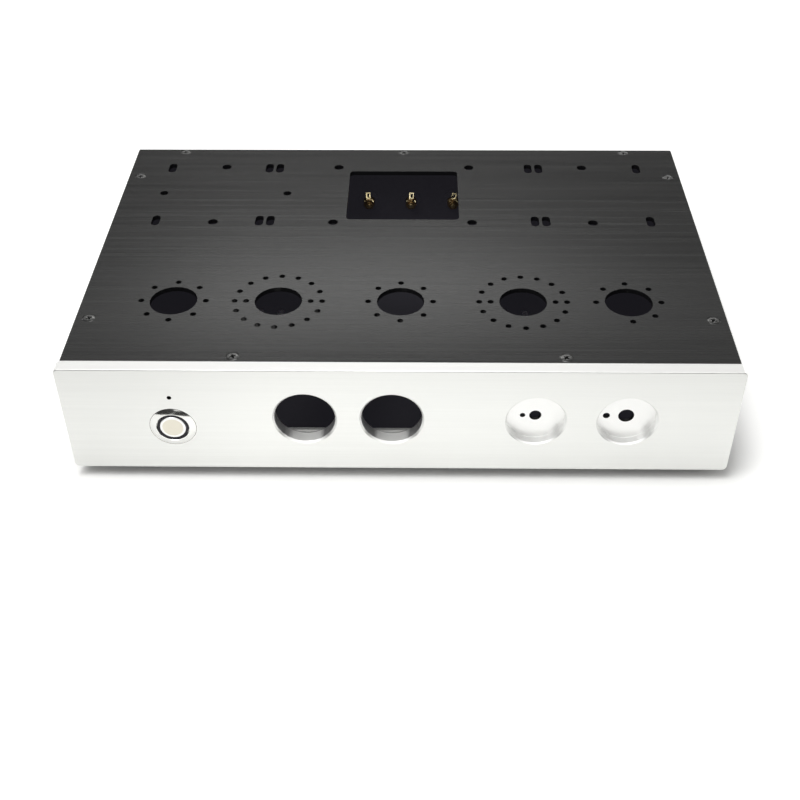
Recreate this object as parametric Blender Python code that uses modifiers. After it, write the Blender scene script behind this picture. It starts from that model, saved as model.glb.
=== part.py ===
"""Amplifier chassis: a thick aluminium front, a machined black top plate and a sheet-metal box below.

Metres, +Z up. The origin is on the floor under the middle of the chassis. The front faces -Y.
Depths are counted from the top plate's front edge and drops from its upper face.
"""

import math

import bmesh
import bpy
from mathutils import Euler, Matrix, Vector

for leftover in list(bpy.data.objects):
    bpy.data.objects.remove(leftover, do_unlink=True)

# Clearances
GAP = 0.0003
SCREW_CLEARANCE = 0.0003
OVERCUT = 0.002

# Top plate, 3 mm aluminium
PLATE_WIDTH = 0.376
PLATE_DEPTH = 0.243
PLATE_THICKNESS = 0.003
PLATE_CORNER = 0.001
PLATE_CHAMFER = 0.0004

# Front panel, 8 mm aluminium, a little wider than the plate
PANEL_OVERHANG = 0.0021
PANEL_HEIGHT = 0.0724
PANEL_THICKNESS = 0.008
PANEL_CORNER = 0.003
PANEL_CHAMFER = 0.0005

# Bent sheet and angles
SHEET = 0.0015
BEND_RADIUS = 0.0012
SIDE_FLANGE = 0.015
REAR_FLANGE = 0.012
COVER_THICKNESS = 0.002
ANGLE_THICKNESS = 0.002
LOWER_ANGLE_LEG = 0.020
UPPER_ANGLE_LEG = 0.012

# Meter holes
METER_X = (-0.0534, -0.0042)
METER_DROP = 0.0348
METER_RADIUS = 0.0173
METER_CHAMFER = 0.0010

# Knob recesses: inset from the plate's end, shaft hole radius, pin hole offset and pin hole radius
KNOBS = (
    (0.1110, 0.00345, -0.0072, 0.00155),
    (0.0596, 0.00450, -0.0112, 0.00200),
)
KNOB_DROP = 0.0356
KNOB_RADIUS = 0.0166
KNOB_RIM = 0.0008
KNOB_RECESS = 0.0055

# Power switch and its lamp hole
SWITCH_INSET = 0.0594
SWITCH_DROP = 0.0409
BEZEL_RADIUS = 0.01335
BEZEL_PROUD = 0.0010
BEZEL_EDGE = 0.0005
BEZEL_SLOPE = 0.0022
BARREL_RADIUS = 0.0108
BARREL_LENGTH = 0.028
SWITCH_BODY_RADIUS = 0.0088
SWITCH_BODY_LENGTH = 0.012
HALO_RADIUS = 0.0090
HALO_HEIGHT = 0.0024
HALO_SUNK = 0.0002
BUTTON_RADIUS = 0.0074
BUTTON_HEIGHT = 0.0033
BUTTON_SUNK = 0.0001
BUTTON_EDGE = 0.0003
BUTTON_TRAVEL = 0.003
STEM_RADIUS = 0.003
STEM_LENGTH = 0.0066
NUT_RADIUS = 0.0145
NUT_HEIGHT = 0.004
LAMP_INSET = 0.0598
LAMP_DROP = 0.0196
LAMP_RADIUS = 0.0013

# Valve holes: five in a row at shares of the plate's half width, with their rings of vents
VALVE_DEPTH = 0.0578
VALVE_RADIUS = 0.0140
SMALL_RING_SHARES = (-0.7112, 0.0, 0.7112)
LARGE_RING_SHARES = (-0.3824, 0.3824)
VENT_RADIUS = 0.0019
SMALL_RING_RADIUS = 0.01907
SMALL_RING_COUNT = 8
MISSING_VENT_RING = 2
MISSING_VENT = 3
LARGE_RING_RADIUS = 0.02575
LARGE_RING_COUNT = 16
PAIR_OFFSET = 0.01904

# Holes for the transformers: insets count from the plate's rear edge, offsets from a side transformer
TRANSFORMER_SHARE = 0.6516
LEAD_HOLE_X = 0.0448
LEAD_HOLE_INSET = (0.0973, 0.0255)
LEAD_HOLE_RADIUS = 0.0033
SLOT_OFFSETS = (-0.0371, -0.0299, 0.0372)
SLOT_INSET = (0.0956, 0.0270)
SLOT_WIDTH = 0.0053
SLOT_LENGTH = 0.012
SLOT_END_SHARE = 0.98
ROUND_HOLE_OFFSETS = (-0.0375, 0.0450)
ROUND_HOLE_INSET = 0.0610
ROUND_HOLE_RADIUS = 0.0028
WINDOW_WIDTH = 0.0733
WINDOW_INSET = (0.0937, 0.0310)
WINDOW_CORNER = 0.0026

# M4 countersunk screws
SCREW_RADIUS = 0.0017
SCREW_LENGTH = 0.010
HEAD_RADIUS = 0.0038
HEAD_SUNK = 0.0001
CROSS_LENGTH = 0.0046
CROSS_WIDTH = 0.0011
CROSS_DEPTH = 0.0013
REAR_SCREW_SIDE_INSET = 0.0337
REAR_SCREW_INSET = 0.0044
SIDE_SCREW_INSET = 0.0080
SIDE_SCREW_FRONT_INSET = 0.0402
SIDE_SCREW_REAR_INSET = 0.0386
FRONT_SCREW_X = (-0.0924, 0.0924)
FRONT_SCREW_DEPTH = 0.0049
CROSS_TURNS = (12, 40, 75, 30, 58, 5, 66, 22, 48)

# Screws that hold the front panel to its angles
PANEL_SCREW_INSET = 0.0147
PANEL_SCREW_MIDDLE_X = 0.0285
PANEL_SCREW_BITE = 0.005
PANEL_HEAD_RADIUS = 0.0031
PANEL_HEAD_HEIGHT = 0.0018

# Feet
FOOT_HEIGHT = 0.008
FOOT_RADIUS = 0.010
FOOT_TAPER = 0.001
FOOT_INSET = 0.011
FOOT_END_INSET = 0.022
FOOT_BORE_RADIUS = 0.0048
FOOT_WEB = 0.003
FOOT_SCREW_HEAD_RADIUS = 0.0038
FOOT_SCREW_HEAD_HEIGHT = 0.0024

# Vents in the bottom cover: two fields at shares of its half width
COVER_VENT_SHARE = 0.48
COVER_VENT_COUNT = 6
COVER_VENT_PITCH = 0.014
COVER_VENT_WIDTH = 0.004
COVER_VENT_LENGTH = 0.056

# Binding posts on the rear panel
POST_FIRST_X = -0.0254
POST_PITCH = 0.0303
POST_COUNT = 4
POST_DROP = 0.039
INSULATOR_RADIUS = 0.008
INSULATOR_HEIGHT = 0.004
INSULATOR_SPIGOT = 0.0042
INNER_INSULATOR_HEIGHT = 0.002
INNER_INSULATOR_RADIUS = 0.007
COLLAR_RADIUS = 0.0065
COLLAR_HEIGHT = 0.002
POST_RADIUS = 0.003
POST_LENGTH = 0.0125
PLUG_HOLE_RADIUS = 0.002
PLUG_HOLE_DEPTH = 0.011
STUD_RADIUS = 0.0021
STUD_LENGTH = 0.0105
POST_NUT_RADIUS = 0.0045
POST_NUT_HEIGHT = 0.003
LOCK_NUT_RADIUS = 0.0032
LOCK_NUT_HEIGHT = 0.0016
WASHER_HEIGHT = 0.0012
CAP_RADIUS = 0.007
CAP_LENGTH = 0.015
CAP_EDGE = 0.0008
CAP_GROOVES = 8
CAP_GROOVE_RADIUS = 0.0012
CAP_END_HOLE_RADIUS = 0.0025
CAP_SPARE_DEPTH = 0.0012

# Solder lugs inside: the tongue is a path of (reach to the front, rise)
LUG_THICKNESS = 0.0006
LUG_RING_RADIUS = 0.0038
LUG_WIDTH = 0.0033
LUG_PATH = ((0.0, 0.0030), (0.0, 0.0051), (-0.0018, 0.0081))
LUG_TURNS = (-5.0, 3.0, 8.0, -3.0)

# Phono sockets
PHONO_INSET = (0.0745, 0.0425)
PHONO_DROP = (0.0250, 0.0470)
PHONO_RADIUS = 0.00415
PHONO_LENGTH = 0.009
PHONO_FLANGE_RADIUS = 0.0062
PHONO_FLANGE_HEIGHT = 0.002
PHONO_BORE_RADIUS = 0.0016
PHONO_BORE_DEPTH = 0.008
PHONO_THREAD_RADIUS = 0.0034
PHONO_THREAD_LENGTH = 0.009

# Mains inlet
INLET_INSET = 0.058
INLET_DROP = 0.036
INLET_FLANGE = (0.050, 0.0235, 0.003)
INLET_BODY = (0.027, 0.0195, 0.0145)
INLET_POCKET = (0.0235, 0.0160, 0.0150)
INLET_CORNER = 0.003
INLET_PIN = (0.002, 0.004, 0.012)
INLET_PIN_SPREAD = 0.007
INLET_PIN_DROP = 0.0015
INLET_EARTH_RISE = 0.0030
INLET_SCREW_SPREAD = 0.020
INLET_SCREW_RADIUS = 0.00145
INLET_SCREW_LENGTH = 0.0075
INLET_HEAD_RADIUS = 0.0028
INLET_HEAD_HEIGHT = 0.0016

# Facets of round shapes
FACETS_LARGE = 32
FACETS_MEDIUM = 24
FACETS_SMALL = 12
FACETS_FINE = 8
FACETS_POST = 10
FACETS_GROOVE = 5
FACETS_NUT = 6
CORNER_SEGMENTS = 3
BEND_SEGMENTS = 2
SLOT_SEGMENTS = 2
VENT_SEGMENTS = 1
MERGE_DISTANCE = 0.00001
SMOOTH_ANGLE = 30.0

# Places worked out from the sizes
TOP = FOOT_HEIGHT + PANEL_HEIGHT
HALF_WIDTH = PLATE_WIDTH / 2
PANEL_WIDTH = PLATE_WIDTH + 2 * PANEL_OVERHANG
POST_STACK = 3 * GAP + INSULATOR_HEIGHT + COLLAR_HEIGHT + WASHER_HEIGHT + GAP + CAP_LENGTH
FRONT_REACH = PANEL_THICKNESS + BEZEL_PROUD
REAR_REACH = PLATE_DEPTH + POST_STACK
EDGE_Y = (FRONT_REACH - REAR_REACH) / 2
SHEET_TOP = PLATE_THICKNESS + GAP
SHEET_BOTTOM = PANEL_HEIGHT - COVER_THICKNESS - GAP
WALL_HEIGHT = SHEET_BOTTOM - SHEET_TOP
WALL_OUTER = PLATE_DEPTH
WALL_INNER = PLATE_DEPTH - SHEET
INNER_HALF_WIDTH = HALF_WIDTH - SIDE_FLANGE - GAP
SWITCH_X = SWITCH_INSET - HALF_WIDTH
LAMP_X = LAMP_INSET - HALF_WIDTH
INLET_X = INLET_INSET - HALF_WIDTH
TRANSFORMER_X = TRANSFORMER_SHARE * HALF_WIDTH
REAR_SCREW_X = (REAR_SCREW_SIDE_INSET - HALF_WIDTH, 0.0, HALF_WIDTH - REAR_SCREW_SIDE_INSET)
SIDE_SCREW_DEPTH = (SIDE_SCREW_FRONT_INSET, PLATE_DEPTH - SIDE_SCREW_REAR_INSET)
PANEL_SCREW_END_X = INNER_HALF_WIDTH - PANEL_SCREW_INSET
PANEL_SCREW_X = (-PANEL_SCREW_END_X, -PANEL_SCREW_MIDDLE_X, PANEL_SCREW_MIDDLE_X, PANEL_SCREW_END_X)
FOOT_DEPTH = (FOOT_END_INSET, PLATE_DEPTH - FOOT_END_INSET)
SHAFT_HOLE_RADIUS = SCREW_RADIUS + SCREW_CLEARANCE
ZERO = (0.0, 0.0, 0.0)
FACING_FRONT = (math.pi / 2, 0.0, 0.0)
FACING_REAR = (-math.pi / 2, 0.0, 0.0)

parts = bpy.data.collections.new("amplifier_chassis")
cutters = bpy.data.collections.new("cutters")
for collection in (parts, cutters):
    bpy.context.scene.collection.children.link(collection)


def place(x, depth, drop):
    """World point at x, this far behind the plate's front edge and this far below its upper face."""
    return Vector((x, EDGE_Y + depth, TOP - drop))


def finish(name, color, roughness, metallic):
    """A Principled material."""
    material = bpy.data.materials.new(name)
    material.use_nodes = True
    shader = material.node_tree.nodes["Principled BSDF"]
    shader.inputs["Base Color"].default_value = (*color, 1.0)
    shader.inputs["Roughness"].default_value = roughness
    shader.inputs["Metallic"].default_value = metallic
    return material


LOOKS = {
    "bare": ((0.80, 0.80, 0.79), 0.38, 1.0),
    "black": ((0.045, 0.045, 0.048), 0.45, 0.6),
    "screw": ((0.03, 0.03, 0.03), 0.35, 0.8),
    "steel": ((0.62, 0.62, 0.61), 0.30, 1.0),
    "halo": ((0.06, 0.06, 0.065), 0.25, 0.0),
    "gold": ((0.83, 0.66, 0.33), 0.25, 1.0),
    "plastic": ((0.03, 0.03, 0.03), 0.50, 0.0),
    "red": ((0.45, 0.03, 0.03), 0.40, 0.0),
    "rubber": ((0.02, 0.02, 0.02), 0.80, 0.0),
}


def add(name, mesh, location=ZERO, rotation=ZERO, look=None):
    """A named object of this mesh, in the parts with a look of its own, or in the cutters without one."""
    item = bpy.data.objects.new(name, mesh)
    item.location = location
    item.rotation_euler = rotation
    if look:
        mesh.materials.append(finish(name, *LOOKS[look]))
        parts.objects.link(item)
    else:
        item.hide_render = True
        item.display_type = "WIRE"
        cutters.objects.link(item)
    return item


def to_mesh(shape, name):
    """A bmesh kept as a mesh."""
    mesh = bpy.data.meshes.new(name)
    shape.to_mesh(mesh)
    shape.free()
    return mesh


def corner_edges(shape, axis):
    """The edges that run along one axis (0, 1 or 2)."""
    found = []
    for edge in shape.edges:
        run = edge.verts[1].co - edge.verts[0].co
        if abs(run[axis]) > run.length / 2:
            found.append(edge)
    return found


def slab(name, size, axis=2, corner=0.0, segments=CORNER_SEGMENTS, rim=0.0, rim_side=1):
    """A box with its corners rounded around one axis and the rim of one face chamfered."""
    shape = bmesh.new()
    bmesh.ops.create_cube(shape, size=1.0)
    bmesh.ops.scale(shape, vec=size, verts=shape.verts)
    if corner:
        bmesh.ops.bevel(
            shape,
            geom=corner_edges(shape, axis),
            offset=corner,
            offset_type="OFFSET",
            segments=segments,
            profile=0.5,
            affect="EDGES",
        )
    if rim:
        level = rim_side * size[axis] / 2
        edges = [
            edge
            for edge in shape.edges
            if all(abs(vert.co[axis] - level) < MERGE_DISTANCE for vert in edge.verts)
        ]
        bmesh.ops.bevel(
            shape, geom=edges, offset=rim, offset_type="OFFSET", segments=1, profile=0.5, affect="EDGES"
        )
    return to_mesh(shape, name)


def drills(name, holes, rotation=ZERO):
    """One cutter of separate drills: (centre, one end's radius, the other end's, depth, facets)."""
    shape = bmesh.new()
    turn = Euler(rotation).to_matrix().to_4x4()
    for centre, lower, upper, depth, facets in holes:
        bmesh.ops.create_cone(
            shape,
            cap_ends=True,
            segments=facets,
            radius1=lower,
            radius2=upper,
            depth=depth,
            matrix=Matrix.Translation(centre) @ turn,
        )
    return add(name, to_mesh(shape, name))


def merged(name, shapes):
    """One cutter out of several separate ones."""
    whole = bmesh.new()
    for item in shapes:
        copy = item.data.copy()
        copy.transform(item.matrix_basis)
        whole.from_mesh(copy)
        bpy.data.meshes.remove(copy)
        bpy.data.objects.remove(item, do_unlink=True)
    return add(name, to_mesh(whole, name))


def cut(item, cutter, operation="DIFFERENCE"):
    """Cuts or joins with an exact Boolean."""
    modifier = item.modifiers.new(cutter.name, "BOOLEAN")
    modifier.operation = operation
    modifier.solver = "EXACT"
    modifier.object = cutter


def turned_mesh(name, profile, facets):
    """A profile of (radius, height) points turned around Z by a Screw modifier, kept as a mesh."""
    outline = bmesh.new()
    points = [outline.verts.new((radius, 0.0, height)) for radius, height in profile]
    for first, second in zip(points, points[1:]):
        outline.edges.new((first, second))
    if profile[0][0] > 0.0:
        outline.edges.new((points[-1], points[0]))
    lathe = bpy.data.objects.new(name, to_mesh(outline, name + "_profile"))
    cutters.objects.link(lathe)
    screw = lathe.modifiers.new("turn", "SCREW")
    screw.angle = math.tau
    screw.steps = facets
    screw.render_steps = facets
    screw.use_merge_vertices = True
    screw.merge_threshold = MERGE_DISTANCE
    bpy.context.view_layer.update()
    turned_shape = lathe.evaluated_get(bpy.context.evaluated_depsgraph_get())
    mesh = bpy.data.meshes.new_from_object(turned_shape)
    mesh.name = name
    bpy.data.objects.remove(lathe, do_unlink=True)
    return mesh


def turned(name, profile, facets, location, rotation=ZERO, look=None):
    """A turned part, or a turned cutter where no look is given."""
    return add(name, turned_mesh(name, profile, facets), location, rotation, look)


def form_drills(name, profile, facets, spots, rotation=ZERO):
    """One cutter of equal turned drills, one at each spot."""
    mesh = turned_mesh(name, profile, facets)
    return merged(name, [add(name, mesh.copy(), spot, rotation) for spot in spots])


def folded(name, outline, length, thickness, look, location, bend=BEND_RADIUS):
    """Sheet folded along X: an open outline of (depth, height) points, bevelled and thickened."""
    shape = bmesh.new()
    near = [shape.verts.new((-length / 2, y, z)) for y, z in outline]
    far = [shape.verts.new((length / 2, y, z)) for y, z in outline]
    for index in range(len(outline) - 1):
        shape.faces.new((near[index], near[index + 1], far[index + 1], far[index]))
    folds = [edge for edge in shape.edges if len(edge.link_faces) > 1]
    bmesh.ops.bevel(
        shape,
        geom=folds,
        offset=bend,
        offset_type="OFFSET",
        segments=BEND_SEGMENTS,
        profile=0.5,
        affect="EDGES",
    )
    item = add(name, to_mesh(shape, name), location, ZERO, look)
    solid = item.modifiers.new("thickness", "SOLIDIFY")
    solid.thickness = thickness
    solid.offset = -1.0
    solid.use_even_offset = True
    return item


def settle(item):
    """Keeps the shape that the modifiers give and shades its round faces smooth."""
    bpy.context.view_layer.update()
    shaped = item.evaluated_get(bpy.context.evaluated_depsgraph_get())
    mesh = bpy.data.meshes.new_from_object(shaped)
    item.modifiers.clear()
    item.data = mesh
    mesh.shade_smooth()
    mesh.set_sharp_from_angle(angle=math.radians(SMOOTH_ANGLE))


# Front panel: a milled slab with through holes, blind recesses and broken rims
front_middle = -PANEL_THICKNESS / 2
front_panel = add(
    "front_panel",
    slab(
        "front_panel",
        (PANEL_WIDTH, PANEL_THICKNESS, PANEL_HEIGHT),
        axis=1,
        corner=PANEL_CORNER,
        rim=PANEL_CHAMFER,
        rim_side=-1,
    ),
    place(0.0, front_middle, PANEL_HEIGHT / 2),
    ZERO,
    "bare",
)
through = PANEL_THICKNESS + 2 * OVERCUT
meter_drill = (
    (0.0, OVERCUT),
    (METER_RADIUS + METER_CHAMFER + OVERCUT, OVERCUT),
    (METER_RADIUS, -METER_CHAMFER),
    (METER_RADIUS, -PANEL_THICKNESS - OVERCUT),
    (0.0, -PANEL_THICKNESS - OVERCUT),
)
meter_spots = [place(x, -PANEL_THICKNESS, METER_DROP) for x in METER_X]
cut(front_panel, form_drills("meter_bores", meter_drill, FACETS_LARGE, meter_spots, FACING_FRONT))
knob_drill = (
    (0.0, OVERCUT),
    (KNOB_RADIUS + KNOB_RIM + OVERCUT, OVERCUT),
    (KNOB_RADIUS, -KNOB_RIM),
    (KNOB_RADIUS, -KNOB_RECESS),
    (0.0, -KNOB_RECESS),
)
knob_spots = [place(HALF_WIDTH - knob[0], -PANEL_THICKNESS, KNOB_DROP) for knob in KNOBS]
cut(front_panel, form_drills("knob_recesses", knob_drill, FACETS_LARGE, knob_spots, FACING_FRONT))
switch_hole = BARREL_RADIUS + GAP
shaft_holes = [
    (place(SWITCH_X, front_middle, SWITCH_DROP), switch_hole, switch_hole, through, FACETS_MEDIUM),
    (place(LAMP_X, front_middle, LAMP_DROP), LAMP_RADIUS, LAMP_RADIUS, through, FACETS_SMALL),
]
for inset, shaft_radius, pin_offset, pin_radius in KNOBS:
    x = HALF_WIDTH - inset
    shaft_holes.append(
        (place(x, front_middle, KNOB_DROP), shaft_radius, shaft_radius, through, FACETS_SMALL)
    )
    shaft_holes.append(
        (place(x + pin_offset, front_middle, KNOB_DROP), pin_radius, pin_radius, through, FACETS_FINE)
    )
cut(front_panel, drills("shaft_bores", shaft_holes, FACING_FRONT))
lower_screw_drop = SHEET_BOTTOM - LOWER_ANGLE_LEG / 2
upper_screw_drop = SHEET_TOP + UPPER_ANGLE_LEG / 2 + ANGLE_THICKNESS / 2
blind_depth = PANEL_SCREW_BITE + GAP
blind_holes = [
    (
        place(x, OVERCUT / 2 - blind_depth / 2, drop),
        SHAFT_HOLE_RADIUS,
        SHAFT_HOLE_RADIUS,
        blind_depth + OVERCUT,
        FACETS_FINE,
    )
    for x in PANEL_SCREW_X
    for drop in (lower_screw_drop, upper_screw_drop)
]
cut(front_panel, drills("panel_tapped_holes", blind_holes, FACING_FRONT))
settle(front_panel)

# Top plate: all its holes stand in named rows and rings
top_plate = add(
    "top_plate",
    slab(
        "top_plate",
        (PLATE_WIDTH, PLATE_DEPTH - GAP, PLATE_THICKNESS),
        corner=PLATE_CORNER,
        rim=PLATE_CHAMFER,
    ),
    place(0.0, PLATE_DEPTH / 2 + GAP / 2, PLATE_THICKNESS / 2),
    ZERO,
    "black",
)


def plate_hole(x, depth, radius, facets):
    """A straight drill through the top plate."""
    return (
        place(x, depth, PLATE_THICKNESS / 2),
        radius,
        radius,
        PLATE_THICKNESS + 2 * OVERCUT,
        facets,
    )


plate_holes = []
for ring, share in enumerate(SMALL_RING_SHARES):
    x = share * HALF_WIDTH
    plate_holes.append(plate_hole(x, VALVE_DEPTH, VALVE_RADIUS, FACETS_MEDIUM))
    for step in range(SMALL_RING_COUNT):
        if ring == MISSING_VENT_RING and step == MISSING_VENT:
            continue
        angle = math.tau * step / SMALL_RING_COUNT + math.pi / 2
        plate_holes.append(
            plate_hole(
                x + SMALL_RING_RADIUS * math.cos(angle),
                VALVE_DEPTH + SMALL_RING_RADIUS * math.sin(angle),
                VENT_RADIUS,
                FACETS_FINE,
            )
        )
for share in LARGE_RING_SHARES:
    x = share * HALF_WIDTH
    plate_holes.append(plate_hole(x, VALVE_DEPTH, VALVE_RADIUS, FACETS_MEDIUM))
    for side in (-1, 1):
        plate_holes.append(plate_hole(x + side * PAIR_OFFSET, VALVE_DEPTH, VENT_RADIUS, FACETS_FINE))
    for step in range(LARGE_RING_COUNT):
        angle = math.tau * step / LARGE_RING_COUNT + math.pi / 2
        plate_holes.append(
            plate_hole(
                x + LARGE_RING_RADIUS * math.cos(angle),
                VALVE_DEPTH + LARGE_RING_RADIUS * math.sin(angle),
                VENT_RADIUS,
                FACETS_FINE,
            )
        )
for inset in LEAD_HOLE_INSET:
    for x in (-TRANSFORMER_X, -LEAD_HOLE_X, LEAD_HOLE_X, TRANSFORMER_X):
        plate_holes.append(plate_hole(x, PLATE_DEPTH - inset, LEAD_HOLE_RADIUS, FACETS_SMALL))
for offset in ROUND_HOLE_OFFSETS:
    x = offset - TRANSFORMER_X
    plate_holes.append(plate_hole(x, PLATE_DEPTH - ROUND_HOLE_INSET, ROUND_HOLE_RADIUS, FACETS_SMALL))
top_screws = [(x, PLATE_DEPTH - REAR_SCREW_INSET) for x in REAR_SCREW_X]
for depth in SIDE_SCREW_DEPTH:
    top_screws.append((-HALF_WIDTH + SIDE_SCREW_INSET, depth))
    top_screws.append((HALF_WIDTH - SIDE_SCREW_INSET, depth))
top_screws += [(x, FRONT_SCREW_DEPTH) for x in FRONT_SCREW_X]
cut(top_plate, drills("plate_bores", plate_holes))

slots = []
slot_size = (SLOT_WIDTH, SLOT_LENGTH, PLATE_THICKNESS + 2 * OVERCUT)
slot_corner = SLOT_END_SHARE * SLOT_WIDTH / 2
for inset in SLOT_INSET:
    for side in (-1, 1):
        for offset in SLOT_OFFSETS:
            slots.append(
                add(
                    "slot",
                    slab("slot", slot_size, corner=slot_corner, segments=SLOT_SEGMENTS),
                    place(side * (TRANSFORMER_X + offset), PLATE_DEPTH - inset, PLATE_THICKNESS / 2),
                )
            )
window_inset, window_rear_inset = WINDOW_INSET
window_size = (WINDOW_WIDTH, window_inset - window_rear_inset, PLATE_THICKNESS + 2 * OVERCUT)
window_middle = PLATE_DEPTH - (window_inset + window_rear_inset) / 2
slots.append(
    add(
        "window",
        slab("window", window_size, corner=WINDOW_CORNER),
        place(0.0, window_middle, PLATE_THICKNESS / 2),
    )
)
cut(top_plate, merged("plate_slots", slots))

# The countersunk holes keep the same small gap to the screws all the way down
sink_radius = HEAD_RADIUS + GAP / 2
sink_drill = (
    (0.0, OVERCUT),
    (sink_radius + OVERCUT, OVERCUT),
    (SHAFT_HOLE_RADIUS, SHAFT_HOLE_RADIUS - sink_radius),
    (SHAFT_HOLE_RADIUS, -PLATE_THICKNESS - OVERCUT),
    (0.0, -PLATE_THICKNESS - OVERCUT),
)
sink_spots = [place(x, depth, 0.0) for x, depth in top_screws]
cut(top_plate, form_drills("plate_countersinks", sink_drill, FACETS_SMALL, sink_spots))
settle(top_plate)

# Nine countersunk screws with a cross recess
head_height = HEAD_RADIUS - SCREW_RADIUS
screw_profile = (
    (0.0, 0.0),
    (HEAD_RADIUS, 0.0),
    (SCREW_RADIUS, -head_height),
    (SCREW_RADIUS, -SCREW_LENGTH),
    (0.0, -SCREW_LENGTH),
)
cross_size = (CROSS_LENGTH, CROSS_WIDTH, 2 * CROSS_DEPTH)
for index, (x, depth) in enumerate(top_screws):
    turn = math.radians(CROSS_TURNS[index])
    spot = place(x, depth, HEAD_SUNK)
    screw = turned(f"top_screw_{index + 1}", screw_profile, FACETS_SMALL, spot, ZERO, "screw")
    for quarter in (0.0, math.pi / 2):
        cut(screw, add("cross", slab("cross", cross_size), spot, (0.0, 0.0, turn + quarter)))
    settle(screw)

# Side walls: bent sheet with a flange along the top and the bottom
side_length = PLATE_DEPTH - 3 * GAP - SHEET
side_middle = GAP + side_length / 2
foot_x = HALF_WIDTH - FOOT_INSET
for side, name in ((-1, "side_panel_left"), (1, "side_panel_right")):
    c_outline = (
        (-SIDE_FLANGE, -WALL_HEIGHT / 2),
        (0.0, -WALL_HEIGHT / 2),
        (0.0, WALL_HEIGHT / 2),
        (-SIDE_FLANGE, WALL_HEIGHT / 2),
    )
    wall = folded(
        name,
        c_outline,
        side_length,
        SHEET,
        "black",
        place(side * HALF_WIDTH, side_middle, (SHEET_TOP + SHEET_BOTTOM) / 2),
    )
    wall.rotation_euler = (0.0, 0.0, -side * math.pi / 2)
    flange_holes = [
        (
            place(side * (HALF_WIDTH - SIDE_SCREW_INSET), depth, SHEET_TOP + SHEET / 2),
            SHAFT_HOLE_RADIUS,
            SHAFT_HOLE_RADIUS,
            SHEET + 2 * OVERCUT,
            FACETS_FINE,
        )
        for depth in SIDE_SCREW_DEPTH
    ]
    flange_holes += [
        (
            place(side * foot_x, depth, SHEET_BOTTOM - SHEET / 2),
            SHAFT_HOLE_RADIUS,
            SHAFT_HOLE_RADIUS,
            SHEET + 2 * OVERCUT,
            FACETS_FINE,
        )
        for depth in FOOT_DEPTH
    ]
    cut(wall, drills(name + "_holes", flange_holes))
    settle(wall)

# Rear wall: the same sheet, its flanges notched to clear the flanges of the sides
rear_width = PLATE_WIDTH - 2 * GAP
rear_outline = (
    (-REAR_FLANGE, -WALL_HEIGHT / 2),
    (0.0, -WALL_HEIGHT / 2),
    (0.0, WALL_HEIGHT / 2),
    (-REAR_FLANGE, WALL_HEIGHT / 2),
)
wall_middle_drop = (SHEET_TOP + SHEET_BOTTOM) / 2
rear_panel = folded(
    "rear_panel",
    rear_outline,
    rear_width,
    SHEET,
    "black",
    place(0.0, WALL_OUTER, wall_middle_drop),
)
notch_size = (2 * SIDE_FLANGE, REAR_FLANGE * 2, WALL_HEIGHT + 2 * OVERCUT)
notches = [
    add(
        "notch",
        slab("notch", notch_size),
        place(
            side * (INNER_HALF_WIDTH + notch_size[0] / 2),
            WALL_INNER - GAP / 2 - notch_size[1] / 2,
            wall_middle_drop,
        ),
    )
    for side in (-1, 1)
]
cut(rear_panel, merged("rear_notches", notches))
post_x = [POST_FIRST_X + POST_PITCH * index for index in range(POST_COUNT)]
phono_places = [(HALF_WIDTH - inset, drop) for inset in PHONO_INSET for drop in PHONO_DROP]
rear_through = SHEET + 2 * OVERCUT
rear_depth = (WALL_OUTER + WALL_INNER) / 2
spigot_hole = INSULATOR_SPIGOT + GAP
phono_hole = PHONO_THREAD_RADIUS + GAP
inlet_screw_hole = INLET_SCREW_RADIUS + SCREW_CLEARANCE
rear_holes = [
    (place(x, rear_depth, POST_DROP), spigot_hole, spigot_hole, rear_through, FACETS_POST) for x in post_x
]
rear_holes += [
    (place(x, rear_depth, drop), phono_hole, phono_hole, rear_through, FACETS_POST)
    for x, drop in phono_places
]
rear_holes += [
    (
        place(INLET_X + side * INLET_SCREW_SPREAD, rear_depth, INLET_DROP),
        inlet_screw_hole,
        inlet_screw_hole,
        rear_through,
        FACETS_FINE,
    )
    for side in (-1, 1)
]
cut(rear_panel, drills("rear_bores", rear_holes, FACING_FRONT))
rear_screw_holes = [
    (
        place(x, PLATE_DEPTH - REAR_SCREW_INSET, SHEET_TOP + SHEET / 2),
        SHAFT_HOLE_RADIUS,
        SHAFT_HOLE_RADIUS,
        SHEET + 2 * OVERCUT,
        FACETS_FINE,
    )
    for x in REAR_SCREW_X
]
cut(rear_panel, drills("rear_flange_holes", rear_screw_holes))
inlet_hole_size = (INLET_BODY[0] + 2 * GAP, rear_through, INLET_BODY[1] + 2 * GAP)
inlet_hole = add(
    "inlet_hole",
    slab("inlet_hole", inlet_hole_size, axis=1, corner=INLET_CORNER),
    place(INLET_X, rear_depth, INLET_DROP),
)
cut(rear_panel, inlet_hole)
settle(rear_panel)

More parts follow.
